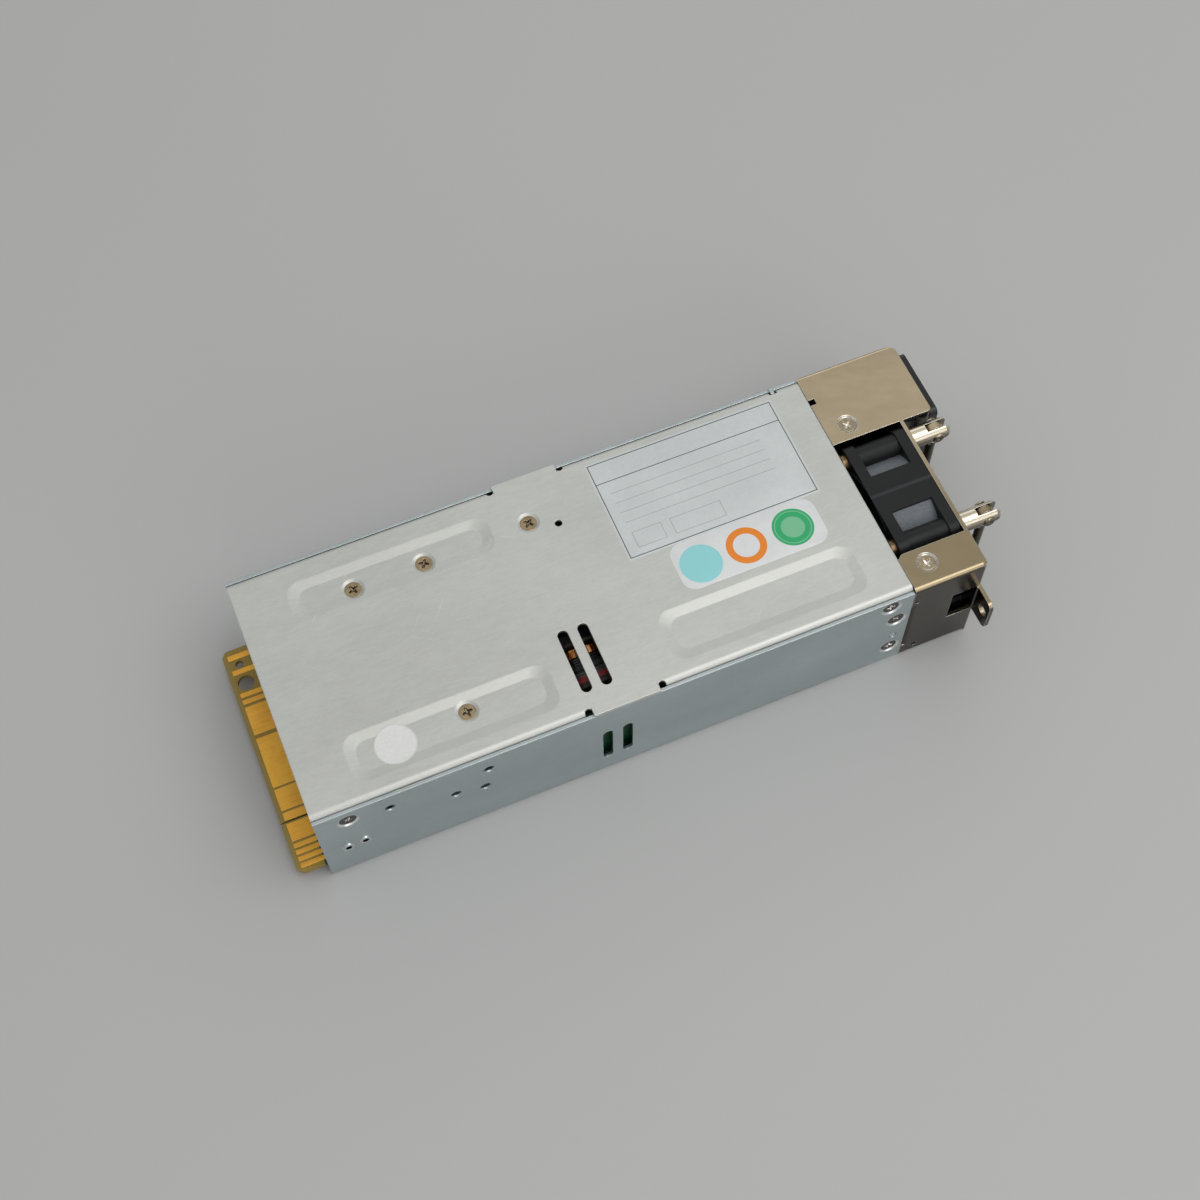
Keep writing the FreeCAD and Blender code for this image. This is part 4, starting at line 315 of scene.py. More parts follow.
def plated(name, colour, roughness, bright_edge, ripple=0.12, haze=0.06, side_shade=0.0, seats=()):
    """Bright plating over pressed steel: soft ripples, wiped smears, tiny pits, light edges that are
    partly wear and partly a painted highlight. Upright and downward faces get painted shade, darker
    by the side shade amount; those that face forward or to the far side less so. Sheet with seats,
    given by X and Y, gets painted shade towards the near side, and the dishes round the seats are
    painted bright as a painted highlight."""
    f = Finish(name, colour, roughness, 1.0)
    f.round_edges(0.25 * MM)
    clouds = f.noise(38.0, 4.0, 0.6)
    smears = f.noise((110.0, 300.0, 300.0), 3.0, 0.6, turn=0.5)
    f.shade(clouds, 0.3, 0.7, haze).shade(smears, 0.35, 0.7, haze * 0.4)
    if seats:
        # Painted shade: the sheet is tinted darker and browner towards the near side.
        f.tint(f.span(f.axis("Y"), 12.0, -25.0, 0.0, 0.75), (0.34, 0.27, 0.16))
    if side_shade:
        # Painted shade on faces turned sideways or down, less on those facing forward or to the far side.
        normal = f.add("ShaderNodeNewGeometry").outputs["Normal"]
        facing = f.add("ShaderNodeSeparateXYZ", [(0, normal)]).outputs
        shade_facing = f.times(f.span(facing["Z"], 0.75, 0.1), f.span(facing["X"], 0.3, 0.9, 1.0, 0.4))
        shade_facing = f.times(shade_facing, f.span(facing["Y"], 0.3, 0.9, 1.0, 0.78))
        f.tint(f.times(shade_facing, side_shade), (0.065, 0.063, 0.06))
    pits = f.times(f.span(f.cells(800.0), 0.09, 0.04), f.span(f.noise(90.0, 1.0), 0.54, 0.62))
    f.tint(f.times(pits, 0.5), tuple(c * 0.5 for c in colour))
    if seats:
        reach = seat_reach(f, seats, "XY")
        on_top = f.span(f.axis("Z"), lid_top - 1.0, lid_top - 0.8)
        # Painted highlight: the dishes round the seats are painted bright on the top face.
        rim = f.span(reach, dish_radius + 0.1, dish_radius - 0.05, 0.0, 0.9)
        f.tint(f.times(rim, on_top), (0.95, 0.93, 0.88))
        slope = f.span(reach, dish_radius - 0.7, dish_radius + 0.05)
        f.raise_by(f.times(slope, on_top), 0.3)
    # Edges tinted light: partly rubbed wear, partly a painted highlight.
    wear_and_highlight = f.edges(0.4)
    f.tint(f.times(wear_and_highlight, 0.85), bright_edge)
    f.scuff(smears, 0.35, 0.7, 0.06).scuff(pits, 0.0, 1.0, 0.2)
    f.raise_by(f.noise(60.0, 2.0), ripple, 0.35).raise_by(f.noise(900.0, 2.0), 0.004, 0.5)
    return f.made()


def moulded(name, colour, roughness, texture=0.01, fine=2500.0, light=0.10, **sockets):
    """Moulded plastic or cast compound: a fine even texture, faint haze and paler edges."""
    f = Finish(name, colour, roughness, **sockets)
    f.round_edges(0.2 * MM)
    clouds = f.noise(70.0, 3.0, 0.6)
    skin = f.noise(fine, 2.0, 0.6)
    f.shade(clouds, 0.3, 0.7, 0.10).shade(skin, 0.3, 0.7, 0.08)
    f.tint(f.times(f.edges(0.3), light), tuple(min(1.0, c * 2.5 + 0.03) for c in colour))
    f.scuff(clouds, 0.3, 0.7, 0.08).scuff(skin, 0.3, 0.7, 0.06)
    f.raise_by(skin, texture)
    return f.made()


def fan_plastic():
    """The fan frame's black plastic: smooth outside, sparked on the round barrel and painted paler there as
    a painted sheen.
    """
    f = Finish("fan_frame_plastic", (0.013, 0.0135, 0.014), 0.42, Specular_IOR_Level=0.28)
    f.round_edges(0.35 * MM)
    y, z = f.axis("Y"), f.axis("Z")
    low, high = ends("fan_frame")
    middle, half = (low + high) / 2, (high[2] - low[2]) / 2
    barrel = f.span(disc_reach(f, y, z, middle[1:]), half + 0.02, half - 0.06)
    sparks = f.noise((900.0, 2600.0, 2600.0), 3.0, 0.7)
    # Painted sheen: the barrel is tinted paler, patterned by its sparked texture.
    f.tint(f.times(barrel, f.span(sparks, 0.25, 0.75, 0.65, 1.0)), (0.20, 0.215, 0.24))
    clouds = f.noise(60.0, 3.0, 0.6)
    f.shade(clouds, 0.3, 0.7, 0.12)
    f.tint(f.times(f.edges(0.35), 0.10), (0.12, 0.125, 0.13))
    f.scuff(barrel, 0.0, 1.0, 0.22).scuff(clouds, 0.3, 0.7, 0.10)
    f.raise_by(f.times(sparks, f.span(barrel, 0.0, 1.0, 0.25, 1.0)), 0.03)
    return f.made()


def board_laminate():
    """Green lacquer inside the case, bare amber laminate on the card edge, pale sawn sides."""
    f = Finish("board_laminate", (0.010, 0.075, 0.030), 0.35)
    x, z = f.axis("X"), f.axis("Z")
    weave = f.times(f.noise((180.0, 1900.0, 400.0), 1.0), f.noise((1900.0, 180.0, 400.0), 1.0))
    traces = f.span(f.cells((90.0, 330.0, 330.0), "F2"), 0.42, 0.40)
    f.tint(f.times(traces, 0.35), (0.02, 0.14, 0.05))
    bare = f.span(x, lacquer_end, lacquer_end - 0.15)
    f.tint(bare, (0.36, 0.235, 0.035))
    f.shade(weave, 0.15, 0.35, 0.12)
    sawn = f.band(z, board_under + 0.02, board_top - 0.02, 0.08)
    f.tint(f.times(sawn, bare), (0.34, 0.235, 0.06))
    f.scuff(weave, 0.15, 0.35, 0.15)
    f.raise_by(weave, 0.01)
    return f.made()


def gilding():
    """Hard gold on the card edge: fine wipe marks along X and dulled spots from mating."""
    f = Finish("contact_gold", (1.0, 0.52, 0.085), 0.36, 1.0)
    wipes = f.noise((60.0, 3600.0, 900.0), 2.0, 0.6)
    clouds = f.noise(120.0, 3.0, 0.6)
    f.shade(wipes, 0.3, 0.7, 0.10).shade(clouds, 0.3, 0.7, 0.12)
    f.tint(f.span(clouds, 0.62, 0.75, 0.0, 0.35), (0.35, 0.16, 0.03))
    f.scuff(wipes, 0.3, 0.7, 0.12).scuff(clouds, 0.3, 0.7, 0.10)
    f.raise_by(wipes, 0.006)
    return f.made()


def enamelled_wire(name, colour):
    """Lacquered copper: deep orange metal under a clear coat, browner in patches."""
    f = Finish(name, colour, 0.28, 0.9, Coat_Weight=0.6, Coat_Roughness=0.12)
    clouds = f.noise(160.0, 3.0, 0.6)
    f.shade(clouds, 0.3, 0.7, 0.25).scuff(clouds, 0.3, 0.7, 0.12)
    return f.made()


def banded_tape():
    """Winding tape from the near end on: black, a red band, black again, then amber film streaked with
    painted glints and painted dark gaps."""
    f = Finish("winding_tape", (0.012, 0.012, 0.013), 0.35)
    y = f.axis("Y")
    amber = f.span(y, amber_film - 0.1, amber_film)
    f.tint(f.band(y, *red_tape, 0.1), (0.26, 0.018, 0.020))
    glint_streaks = f.noise((1500.0, 110.0, 110.0), 2.0, 0.6)
    f.tint(amber, (0.46, 0.15, 0.025))
    # Painted dark gaps and, below, painted glints streak the amber film.
    f.tint(f.times(amber, f.span(glint_streaks, 0.47, 0.38)), (0.10, 0.03, 0.008))
    f.tint(f.times(amber, f.span(glint_streaks, 0.55, 0.62)), (1.0, 0.55, 0.20))
    f.feed(f.shader.inputs["Metallic"], f.times(amber, 0.8))
    creases = f.noise((500.0, 90.0, 500.0), 3.0, 0.6)
    f.shade(creases, 0.3, 0.7, 0.25).scuff(creases, 0.3, 0.7, 0.2).scuff(amber, 0.0, 1.0, -0.15)
    f.raise_by(creases, 0.06)
    return f.made()


def wound_wire():
    """The transformer's turns from the far end on: lacquered copper, then wrapped in black with a
    grey band."""
    f = Finish("wound_wire", (0.74, 0.29, 0.07), 0.22, Coat_Weight=0.6, Coat_Roughness=0.1)
    y = f.axis("Y")
    wrapped = f.span(y, bare_copper, bare_copper - 0.1)
    f.tint(wrapped, (0.010, 0.010, 0.011))
    f.tint(f.band(y, *grey_wrap, 0.1), (0.10, 0.10, 0.10))
    f.feed(f.shader.inputs["Metallic"], f.span(wrapped, 0.0, 1.0, 0.9, 0.0))
    clouds = f.noise(160.0, 3.0, 0.6)
    f.shade(clouds, 0.3, 0.7, 0.2).scuff(clouds, 0.3, 0.7, 0.12).scuff(wrapped, 0.0, 1.0, 0.2)
    return f.made()


def tip_lamp():
    """The status lamp: a clear green tip in a plain black holder."""
    f = Finish("lamp_and_holder", (0.012, 0.012, 0.013), 0.35)
    tip = f.span(f.axis("X"), lamp_tip, lamp_tip + 0.1)
    f.tint(tip, (0.16, 0.42, 0.12))
    f.scuff(tip, 0.0, 1.0, -0.22)
    return f.made()


def hollow_rivets():
    """Bright rolled rims of the hollow rivets, with painted shade down their bores: black and not metallic.
    """
    f = Finish("rivet_steel", (0.66, 0.69, 0.69), 0.26, 1.0)
    # Painted shade: the bores are painted black.
    bores = f.span(seat_reach(f, rivet_bores, "XZ"), 1.0, 0.9)
    f.tint(bores, (0.006, 0.006, 0.006))
    f.feed(f.shader.inputs["Metallic"], f.maths("SUBTRACT", 1.0, bores))
    return f.made()


def wall_screw_finish():
    """Dark zinc on the side screws' heads, with a painted highlight down in the cross recess."""
    f = Finish("side_screw_zinc", (0.10, 0.094, 0.09), 0.20, 1.0)
    head = side_face - dish
    deep = f.span(f.maths("ABSOLUTE", f.axis("Y")), head - 0.15, head - 0.35)
    # Painted highlight: the cross recess is painted bright.
    f.tint(deep, (0.95, 0.90, 0.84))
    f.shade(f.noise(600.0, 2.0), 0.3, 0.7, 0.10)
    return f.made()


def sunk_screw_finish(name, colour, recess):
    """Plating on the screws sunk in the top faces, with the cross recess painted in another tone:
    painted shade on the lid's screws, a painted highlight on the bracket's. The heads on the lid's
    pressed forms, towards the rear, lie lower than the others."""
    f = Finish(name, colour, 0.24, 1.0)
    clouds = f.noise(400.0, 3.0, 0.6)
    f.shade(clouds, 0.3, 0.7, 0.15)
    x, z = f.axis("X"), f.axis("Z")
    head = f.span(x, -12.0, -11.0, dent_head, plain_head)
    # The cross recess is painted in the tone given for it: painted shade on the lid's screws, a painted
    # highlight on the bracket's.
    f.tint(f.span(f.maths("SUBTRACT", head, z), 0.1, 0.4, 0.0, 0.8), recess)
    # The heads' edges are tinted light: partly wear, partly a painted highlight.
    f.tint(f.times(f.edges(0.2), 0.6), (0.80, 0.74, 0.62))
    f.scuff(clouds, 0.3, 0.7, 0.08)
    return f.made()


def sleeved_can(name, sleeve, top, stripe=None):
    """A shrink sleeved capacitor: a stripe printed between two heights, bare metal above top."""
    f = Finish(name, sleeve, 0.32)
    z = f.axis("Z")
    if stripe:
        low, high, colour = stripe
        f.tint(f.band(z, low, high, 0.1), colour)
    bare = f.span(z, top, top + 0.05)
    f.tint(bare, (0.60, 0.60, 0.60))
    f.feed(f.shader.inputs["Metallic"], bare)
    wrinkles = f.noise((300.0, 300.0, 60.0), 2.0)
    f.shade(wrinkles, 0.3, 0.7, 0.08).scuff(wrinkles, 0.3, 0.7, 0.12).raise_by(wrinkles, 0.02)
    return f.made()


def coloured_leads(name, colours, edges):
    """Wire insulation, each lead its own colour, told apart by the edges between them along Y."""
    f = Finish(name, colours[0], 0.38)
    y = f.axis("Y")
    for colour, edge in zip(colours[1:], edges):
        f.tint(f.span(y, edge, edge + 0.05), colour)
    skin = f.noise(700.0, 2.0)
    f.shade(skin, 0.3, 0.7, 0.06).scuff(skin, 0.3, 0.7, 0.12)
    return f.made()


def label_film():
    """Silver polyester film with a ruled blank form printed in dark grey."""
    f = Finish("label_film", (0.67, 0.70, 0.70), 0.42, 0.35)
    x, y = f.axis("X"), f.axis("Y")
    clouds = f.noise(45.0, 4.0, 0.6)
    f.shade(clouds, 0.3, 0.7, 0.03).shade(f.noise(900.0, 2.0), 0.3, 0.7, 0.02)
    margin, heavy, fine = 0.8, 0.28, 0.16
    left, right = label_box[0] + margin, label_box[1] - margin
    frame_ink = outline_mask(f, x, y, (left, right, label_box[2] + margin, label_box[3] - margin), heavy)
    heading = rule_mask(f, x, y, 28.5, left, right, heavy - 0.02)
    f.tint(f.times(f.maths("MAXIMUM", frame_ink, heading), 0.92), (0.035, 0.037, 0.042))
    rows = [rule_mask(f, x, y, height, left + 3.0, right - 8.0, fine)
            for height in (24.2, 20.6, 17.0, 13.4)]
    cells = [outline_mask(f, x, y, (start, end, 4.2, 9.6), fine)
             for start, end in ((24.0, 33.0), (36.0, 52.0))]
    faint = 0.0
    for mark in rows + cells:
        faint = f.maths("MAXIMUM", faint, mark)
    f.tint(f.times(faint, 0.55), (0.13, 0.135, 0.14))
    f.scuff(clouds, 0.3, 0.7, 0.08)
    f.raise_by(f.noise(120.0, 2.0), 0.02)
    return f.made()


def strip_vinyl():
    """White vinyl strip printed with three plain marks: pale blue disc, orange ring, green disc."""
    f = Finish("strip_vinyl", (0.76, 0.775, 0.775), 0.30, Coat_Weight=0.25, Coat_Roughness=0.2)
    creases = f.noise(160.0, 4.0, 0.6)
    f.shade(creases, 0.3, 0.7, 0.04)
    blue, orange, green = [seat_reach(f, [mark], "XY") for mark in (blue_mark, orange_mark, green_mark)]
    f.tint(f.span(blue, 6.4, 6.3), (0.31, 0.71, 0.74))
    f.tint(f.band(orange, 3.9, 6.1, 0.1), (0.88, 0.25, 0.012))
    f.tint(f.span(green, 6.3, 6.2), (0.02, 0.42, 0.15))
    pale = f.maths("MAXIMUM", f.band(green, 5.2, 5.6, 0.1), f.span(green, 3.6, 3.5))
    f.tint(f.times(pale, 0.45), (0.40, 0.70, 0.50))
    f.scuff(creases, 0.3, 0.7, 0.15).raise_by(creases, 0.05)
    return f.made()


def seal_paper():
    """Matt white paper seal: fibre mottle and a slightly grubby rim."""
    f = Finish("seal_paper", (0.80, 0.80, 0.78), 0.62)
    fibres = f.noise(1400.0, 3.0, 0.7)
    f.shade(fibres, 0.3, 0.7, 0.04)
    reach, radius = seat_reach(f, [round_seal[:2]], "XY"), round_seal[2]
    f.tint(f.span(reach, radius - 0.6, radius, 0.0, 0.35), (0.42, 0.41, 0.38))
    f.scuff(fibres, 0.3, 0.7, 0.1).raise_by(fibres, 0.008)
    return f.made()


NICKEL_EDGE = (0.94, 0.91, 0.84)
SLOT_FINISH = {
    "cover_steel": lambda n: rolled_sheet(n, (0.66, 0.665, 0.63), 0.46, (0.92, 0.92, 0.90), dished=True),
    "body_steel": lambda n: rolled_sheet(n, (0.52, 0.583, 0.598), 0.34, (0.88, 0.89, 0.88), haze=0.06,
                                         seats=wall_screws),
    # The side-shade amounts here and below set the painted shade on faces turned sideways or down.
    "nickel": lambda n: plated(n, (0.62, 0.51, 0.345), 0.20, NICKEL_EDGE, side_shade=0.94,
                               seats=bracket_seats),
    "screw_nickel": lambda n: plated(n, (0.60, 0.52, 0.40), 0.24, NICKEL_EDGE, 0.05),
    "black_plastic": lambda n: moulded(n, (0.016, 0.017, 0.018), 0.38),
    "gloss_black": lambda n: moulded(n, (0.012, 0.012, 0.013), 0.22, 0.004),
    "magnet": lambda n: moulded(n, (0.045, 0.04, 0.038), 0.55, 0.02),
    "shaft_steel": lambda n: plated(n, (0.62, 0.62, 0.62), 0.16, (0.9, 0.9, 0.9), 0.02),
    "bronze": lambda n: plated(n, (0.24, 0.155, 0.08), 0.34, (0.48, 0.36, 0.21), 0.05, side_shade=0.5),
    "board_green": lambda n: moulded(n, (0.010, 0.075, 0.030), 0.35, 0.01),
    "gold": lambda n: gilding(),
    "tinned_brass": lambda n: plated(n, (0.66, 0.64, 0.58), 0.24, (0.9, 0.88, 0.82), 0.03),
    "clear_sheet": lambda n: moulded(n, (0.62, 0.64, 0.62), 0.30, 0.01, Transmission_Weight=0.5),
    "aluminium": lambda n: rolled_sheet(n, (0.66, 0.67, 0.68), 0.30, (0.92, 0.92, 0.93)),
    "epoxy": lambda n: moulded(n, (0.014, 0.014, 0.015), 0.48, 0.015, 1800.0),
    "ferrite": lambda n: moulded(n, (0.040, 0.040, 0.043), 0.50, 0.03, 1500.0),
    "bobbin": lambda n: moulded(n, (0.035, 0.026, 0.018), 0.42),
    "copper_wire": lambda n: enamelled_wire(n, (0.70, 0.27, 0.07)),
    "tape": lambda n: banded_tape(),
    "can_sleeve": lambda n: sleeved_can(n, (0.012, 0.016, 0.03), 24.6),
    "cradle": lambda n: moulded(n, (0.50, 0.50, 0.47), 0.45),
    "box_yellow": lambda n: moulded(n, (0.62, 0.42, 0.035), 0.34, 0.01),
    "fuse_glass": lambda n: moulded(n, (0.80, 0.82, 0.80), 0.06, 0.001, Transmission_Weight=0.85, IOR=1.5),
    "header_white": lambda n: moulded(n, (0.66, 0.65, 0.60), 0.42),
    "lead_insulation": lambda n: coloured_leads(
        n, [(0.012, 0.012, 0.013), (0.42, 0.016, 0.012), (0.62, 0.46, 0.03)], [2.2, 3.7]),
}
NODE_FINISH = {
    "status_lamp": tip_lamp,
    "grille_rivets": hollow_rivets,
    "handle_posts": lambda: plated(
        "post_nickel", (0.76, 0.68, 0.54), 0.22, NICKEL_EDGE, 0.05, side_shade=0.8),
    "fan_frame": fan_plastic,
    "main_board": board_laminate,
    "bulk_capacitor": lambda: sleeved_can(
        "bulk_sleeve", (0.014, 0.014, 0.016), 60.0, (29.0, 33.0, (0.5, 0.5, 0.5))),
    "inlet_wires": lambda: coloured_leads(
        "inlet_lead_insulation", [(0.02, 0.16, 0.03), (0.012, 0.04, 0.28), (0.10, 0.035, 0.015)],
        [24.0, 28.0]),
}


def dress_nodes():
    """Gives every node of the frame its own finish, or its slot's where it has none."""
    made = {}
    for name, node in NODES.items():
        for seat in node.material_slots:
            slot = seat.material.name.split(".")[0]
            key = name if name in NODE_FINISH else slot
            if key not in made:
                own = NODE_FINISH.get(key)
                made[key] = own() if own else SLOT_FINISH[slot](slot + "_finish")
            seat.material = made[key]
    return made


# ---------------------------------------------------------------- surfaces
def grid_faces(rows, columns, first=0):
    """A face for every four neighbours on a grid whose points are numbered row by row from first."""
    index = np.arange(rows * columns).reshape(rows, columns) + first
    corners = [index[:-1, :-1], index[:-1, 1:], index[1:, 1:], index[1:, :-1]]
    return np.stack(corners, -1).reshape(-1, 4)


def filled_mesh(name, grids):
    """One mesh of all the grids, each of rows x columns x 3 numbers in millimetres."""
    counts = [grid[..., 0].size for grid in grids]
    firsts = np.cumsum([0] + counts[:-1])
    faces = [grid_faces(*grid.shape[:2], first) for grid, first in zip(grids, firsts)]
    points = [grid.reshape(-1, 3) for grid in grids]
    mesh = bpy.data.meshes.new(name)
    mesh.from_pydata(np.concatenate(points) * MM, [], np.concatenate(faces).tolist())
    return mesh


def linked(name, data):
    """An object of this data at the origin, in the scene."""
    thing = bpy.data.objects.new(name, data)
    bpy.context.scene.collection.objects.link(thing)
    return thing


def piece(name, grids, material, replaces=()):
    """Joins grids of points into one closed piece of the case. Points that meet at seams and poles
    are merged, and edges sharper than 40 degrees stay sharp."""
    mesh = filled_mesh(name, grids)
    work = bmesh.new()
    work.from_mesh(mesh)
    bmesh.ops.remove_doubles(work, verts=work.verts, dist=1e-7)
    bmesh.ops.dissolve_degenerate(work, edges=work.edges, dist=1e-8)
    bmesh.ops.recalc_face_normals(work, faces=work.faces)
    work.to_mesh(mesh)
    work.free()
    mesh.polygons.foreach_set("use_smooth", np.ones(len(mesh.polygons), bool))
    mesh.set_sharp_from_angle(angle=math.radians(40))
    mesh.materials.append(material)
    thing = linked(name, mesh)
    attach(thing, "housing")
    if replaces:
        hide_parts(*replaces)


def rounded_outline(box, radius):
    """A rectangle's outline with quarter circles at its corners, anticlockwise, closed."""
    left, right, bottom, top = box
    angle = np.linspace(0, np.pi / 2, 8)
    arc = np.stack([np.cos(angle), np.sin(angle)], -1) * radius
    turns = [arc, arc[::-1] * (-1, 1), -arc, arc[::-1] * (1, -1)]
    centres = [(right - radius, top - radius), (left + radius, top - radius),
               (left + radius, bottom + radius), (right - radius, bottom + radius)]
    loop = np.concatenate([turn + centre for turn, centre in zip(turns, centres)])
    return np.concatenate([loop, loop[:1]])


def plate(outline, low, high):
    """A thin flat plate: rings of the outline, from the top's middle over the bevelled edge to the
    underside's middle."""
    bevel = 0.02
    middle = outline[:-1].mean(0)
    inner = middle + (outline - middle) * (1 - bevel / 3)
    rings = [(outline * 0 + middle, high), (middle + (outline - middle) * 0.5, high), (inner, high),
             (outline, high - bevel), (outline, low), (outline * 0 + middle, low)]
    return np.stack([np.concatenate([ring, np.full((len(ring), 1), z)], 1) for ring, z in rings])


def drive_depth(across, along, reach, width, deepest):
    """Depth of a cross recess: two wings that taper to their ends, deepest in the middle and less
    than half as deep at the ends, with steep side walls and end walls."""
    taper, side_wall, end_wall, shallow = 0.35, 0.14, 0.22, 0.45
    a, b = np.abs(across), np.abs(along)
    narrow, far = np.minimum(a, b), np.maximum(a, b)
    half = width / 2 * (1 - taper * far / reach)
    side = np.clip((half - narrow) / side_wall + 0.5, 0, 1)
    end = np.clip((reach - far) / end_wall + 0.5, 0, 1)
    centre = np.clip(1 - np.hypot(a, b) / reach, 0, 1)
    return side ** 2 * (3 - 2 * side) * end * (shallow + (1 - shallow) * centre) * deepest


def screw(profile, reach, width, deepest, turn):
    """A turned screw: profile rows of (radius, height) from the head's middle to the tip's, its crown
    drawn finely and a cross recess sunk into it. Head along +Z, its top at height 0."""
    crown, rows, sides = 0.5, 26, 72
    radius, height = np.array(profile, float).T
    first = int(np.argmax(height < -crown))
    dense, coarse = np.linspace(0, 1, rows), np.linspace(0, 1, first)
    radius, height = [np.concatenate([np.interp(dense, coarse, value[:first]), value[first:]])
                      for value in (radius, height)]
    angle = np.linspace(0, 2 * np.pi, sides + 1)
    x, y = radius[:, None] * np.cos(angle), radius[:, None] * np.sin(angle)
    c, s = np.cos(turn), np.sin(turn)
    depth = drive_depth(c * x + s * y, c * y - s * x, reach, width, deepest)
    on_head = (np.arange(len(radius)) < rows)[:, None]
    z = height[:, None] - depth * on_head * (radius[:, None] < reach + 0.3)
    return np.stack([x, y, z], -1)


def stood(grid, place, axis):
    """Turns a shape's +Z to an axis and moves it to its place."""
    turn = np.array(Vector((0, 0, 1)).rotation_difference(Vector(axis)).to_matrix())
    return grid @ turn.T + np.array(place, float)


def tube(path, radius):
    """A wire along a path: six-sided rings square to the path, carried on by the nearest turn, with
    closed ends."""
    sides = 6
    ahead = np.gradient(path, axis=0)
    ahead /= np.linalg.norm(ahead, axis=1, keepdims=True)
    guide = np.cross(ahead, np.roll(ahead, 1, 0))
    guide[0] = guide[1]
    guide /= np.linalg.norm(guide, axis=1, keepdims=True) + 1e-12
    other = np.cross(ahead, guide)
    angle = np.linspace(0, 2 * np.pi, sides + 1)
    ring = np.cos(angle)[None, :, None] * guide[:, None] + np.sin(angle)[None, :, None] * other[:, None]
    grid = path[:, None] + radius * ring
    ends = [np.repeat(path[i][None, None], sides + 1, 1) for i in (0, -1)]
    return np.concatenate([ends[0], grid, ends[1]])


def squircle(phase, width, height, power=0.45):
    """A rounded rectangle as a turn: sine and cosine drawn out towards the corners by a power."""
    c, s = np.cos(phase), np.sin(phase)
    return np.sign(c) * np.abs(c) ** power * width, np.sign(s) * np.abs(s) ** power * height


def ring_winding(core, bore, turns, axis, start, end):
    """Wire wound through a ring core with this radius of bore, from the start angle to the end: the
    turn's rounded rectangle is carried round the ring's circle, which lies square to the axis."""
    wire, per_turn = 1.3, 20
    low, high = ends(core)
    outer, thick = np.round([max(high - low) / 2, (high - low)["xyz".index(axis)]], 1)
    off_core = wire / 2 + 0.05
    t = np.linspace(0, 1, turns * per_turn + 1)
    out, up = squircle(2 * np.pi * turns * t, (outer - bore) / 2 + off_core, thick / 2 + off_core)
    angle = start + (end - start) * t
    flat = (outer + bore) / 2 + out
    x, y, z = flat * np.cos(angle), flat * np.sin(angle), up
    path = {"z": np.stack([x, y, z], -1), "x": np.stack([z, x, y], -1)}[axis]
    return tube(path + np.round((low + high) / 2, 2), wire / 2)


# ---------------------------------------------------------------- pieces
def ribbed_pad(low, high, start, end, face, up):
    """A gilded strip from low to high in Y: grooves along X at every pitch across it, its rim rounded
    down to the laminate's face; up is 1 on the top face and -1 on the underside."""
    step, pitch, half_groove, rounding = 0.05, 0.65, 0.14, 0.08
    y = np.linspace(low, high, int((high - low) / step) + 1)
    x = np.array([start, start + 0.05, start + 0.2, end - 0.2, end - 0.05, end])
    rim = np.clip(np.minimum(y - low, high - y) / rounding, 0, 1) ** 0.5
    from_groove = np.abs((y - low - 0.32) % pitch - pitch / 2)
    groove = np.clip(1 - from_groove / half_groove, 0, 1) ** 2
    ends = np.array([0, 0.8, 1, 1, 0.8, 0])
    across, along = np.meshgrid(y, x)
    height = gilt * ends[:, None] * (rim * (1 - 0.3 * groove))[None, :]
    top = np.stack([along, across, face + up * height], -1)
    return [top, np.stack([along, across, np.full_like(along, face)], -1)]


def card_pads(material):
    """Gilded contacts with fine ribs on both faces of the card edge: nine of their own widths, then
    four alike towards the near end."""
    low, high = ends("edge_contacts")
    strips = [(34.6, 36.4), (29.4, 31.1), (21.4, 22.9), (19.0, 20.5), (8.2, 18.0), (-10.1, 6.9),
              (-18.0, -10.8), (-21.3, -18.7), (-28.2, -22.4)]
    first, pitch, width = -29.0, 2.15, 1.4
    strips += [(first - pitch * k - width, first - pitch * k) for k in range(4)]
    grids = []
    for near, far in strips:
        for face, up in ((high[2] - gilt, 1), (low[2] + gilt, -1)):
            grids += ribbed_pad(near, far, low[0], high[0], face, up)
    piece("card_pads", grids, material, ["edge_contacts"])


shank = 1.48                     # radius of every screw's shank
pan_height = 1.8
FLAT_HEAD = [(0, 0), (1.2, 0), (2.1, -0.01), (2.48, -0.04), (2.53, -0.09), (shank, -0.71)]
PAN_HEAD = [(0, 0), (1.5, -0.05), (2.2, -0.25), (2.65, -0.65), (2.8, -1.2), (2.8, -pan_height),
            (shank, -pan_height)]


def long_as(head, reach):
    """A screw's outline: its head, then a plain shank that reaches this far below the top."""
    return head + [(shank, 0.3 - reach), (1.2, -reach), (0, -reach)]


def lid_fasteners():
    """Flush cross-head screws in the lid's four dimples."""
    grids = [stood(screw(long_as(FLAT_HEAD, 5.0), 1.45, 0.85, 1.0, turn), place, (0, 0, 1))
             for place, turn in zip(lid_screws, (0.5, 1.1, 0.2, 0.8))]
    # The dark recess tone here is painted shade.
    brown = sunk_screw_finish("lid_screw_nickel", (0.44, 0.34, 0.21), (0.085, 0.066, 0.042))
    piece("lid_cross_screws", grids, brown, ["cover_screws"])


def wall_fasteners():
    """Sunk cross-head screws in both side walls."""
    grids = []
    for side in (-1, 1):
        for k, (x, z) in enumerate(wall_screws):
            turned = screw(long_as(FLAT_HEAD, 3.25), 1.5, 0.9, 0.9, 0.4 + 0.7 * k + side)
            grids.append(stood(turned, (x, side * (side_face - dish), z), (0, side, 0)))
    piece("wall_cross_screws", grids, wall_screw_finish(), ["side_screws"])


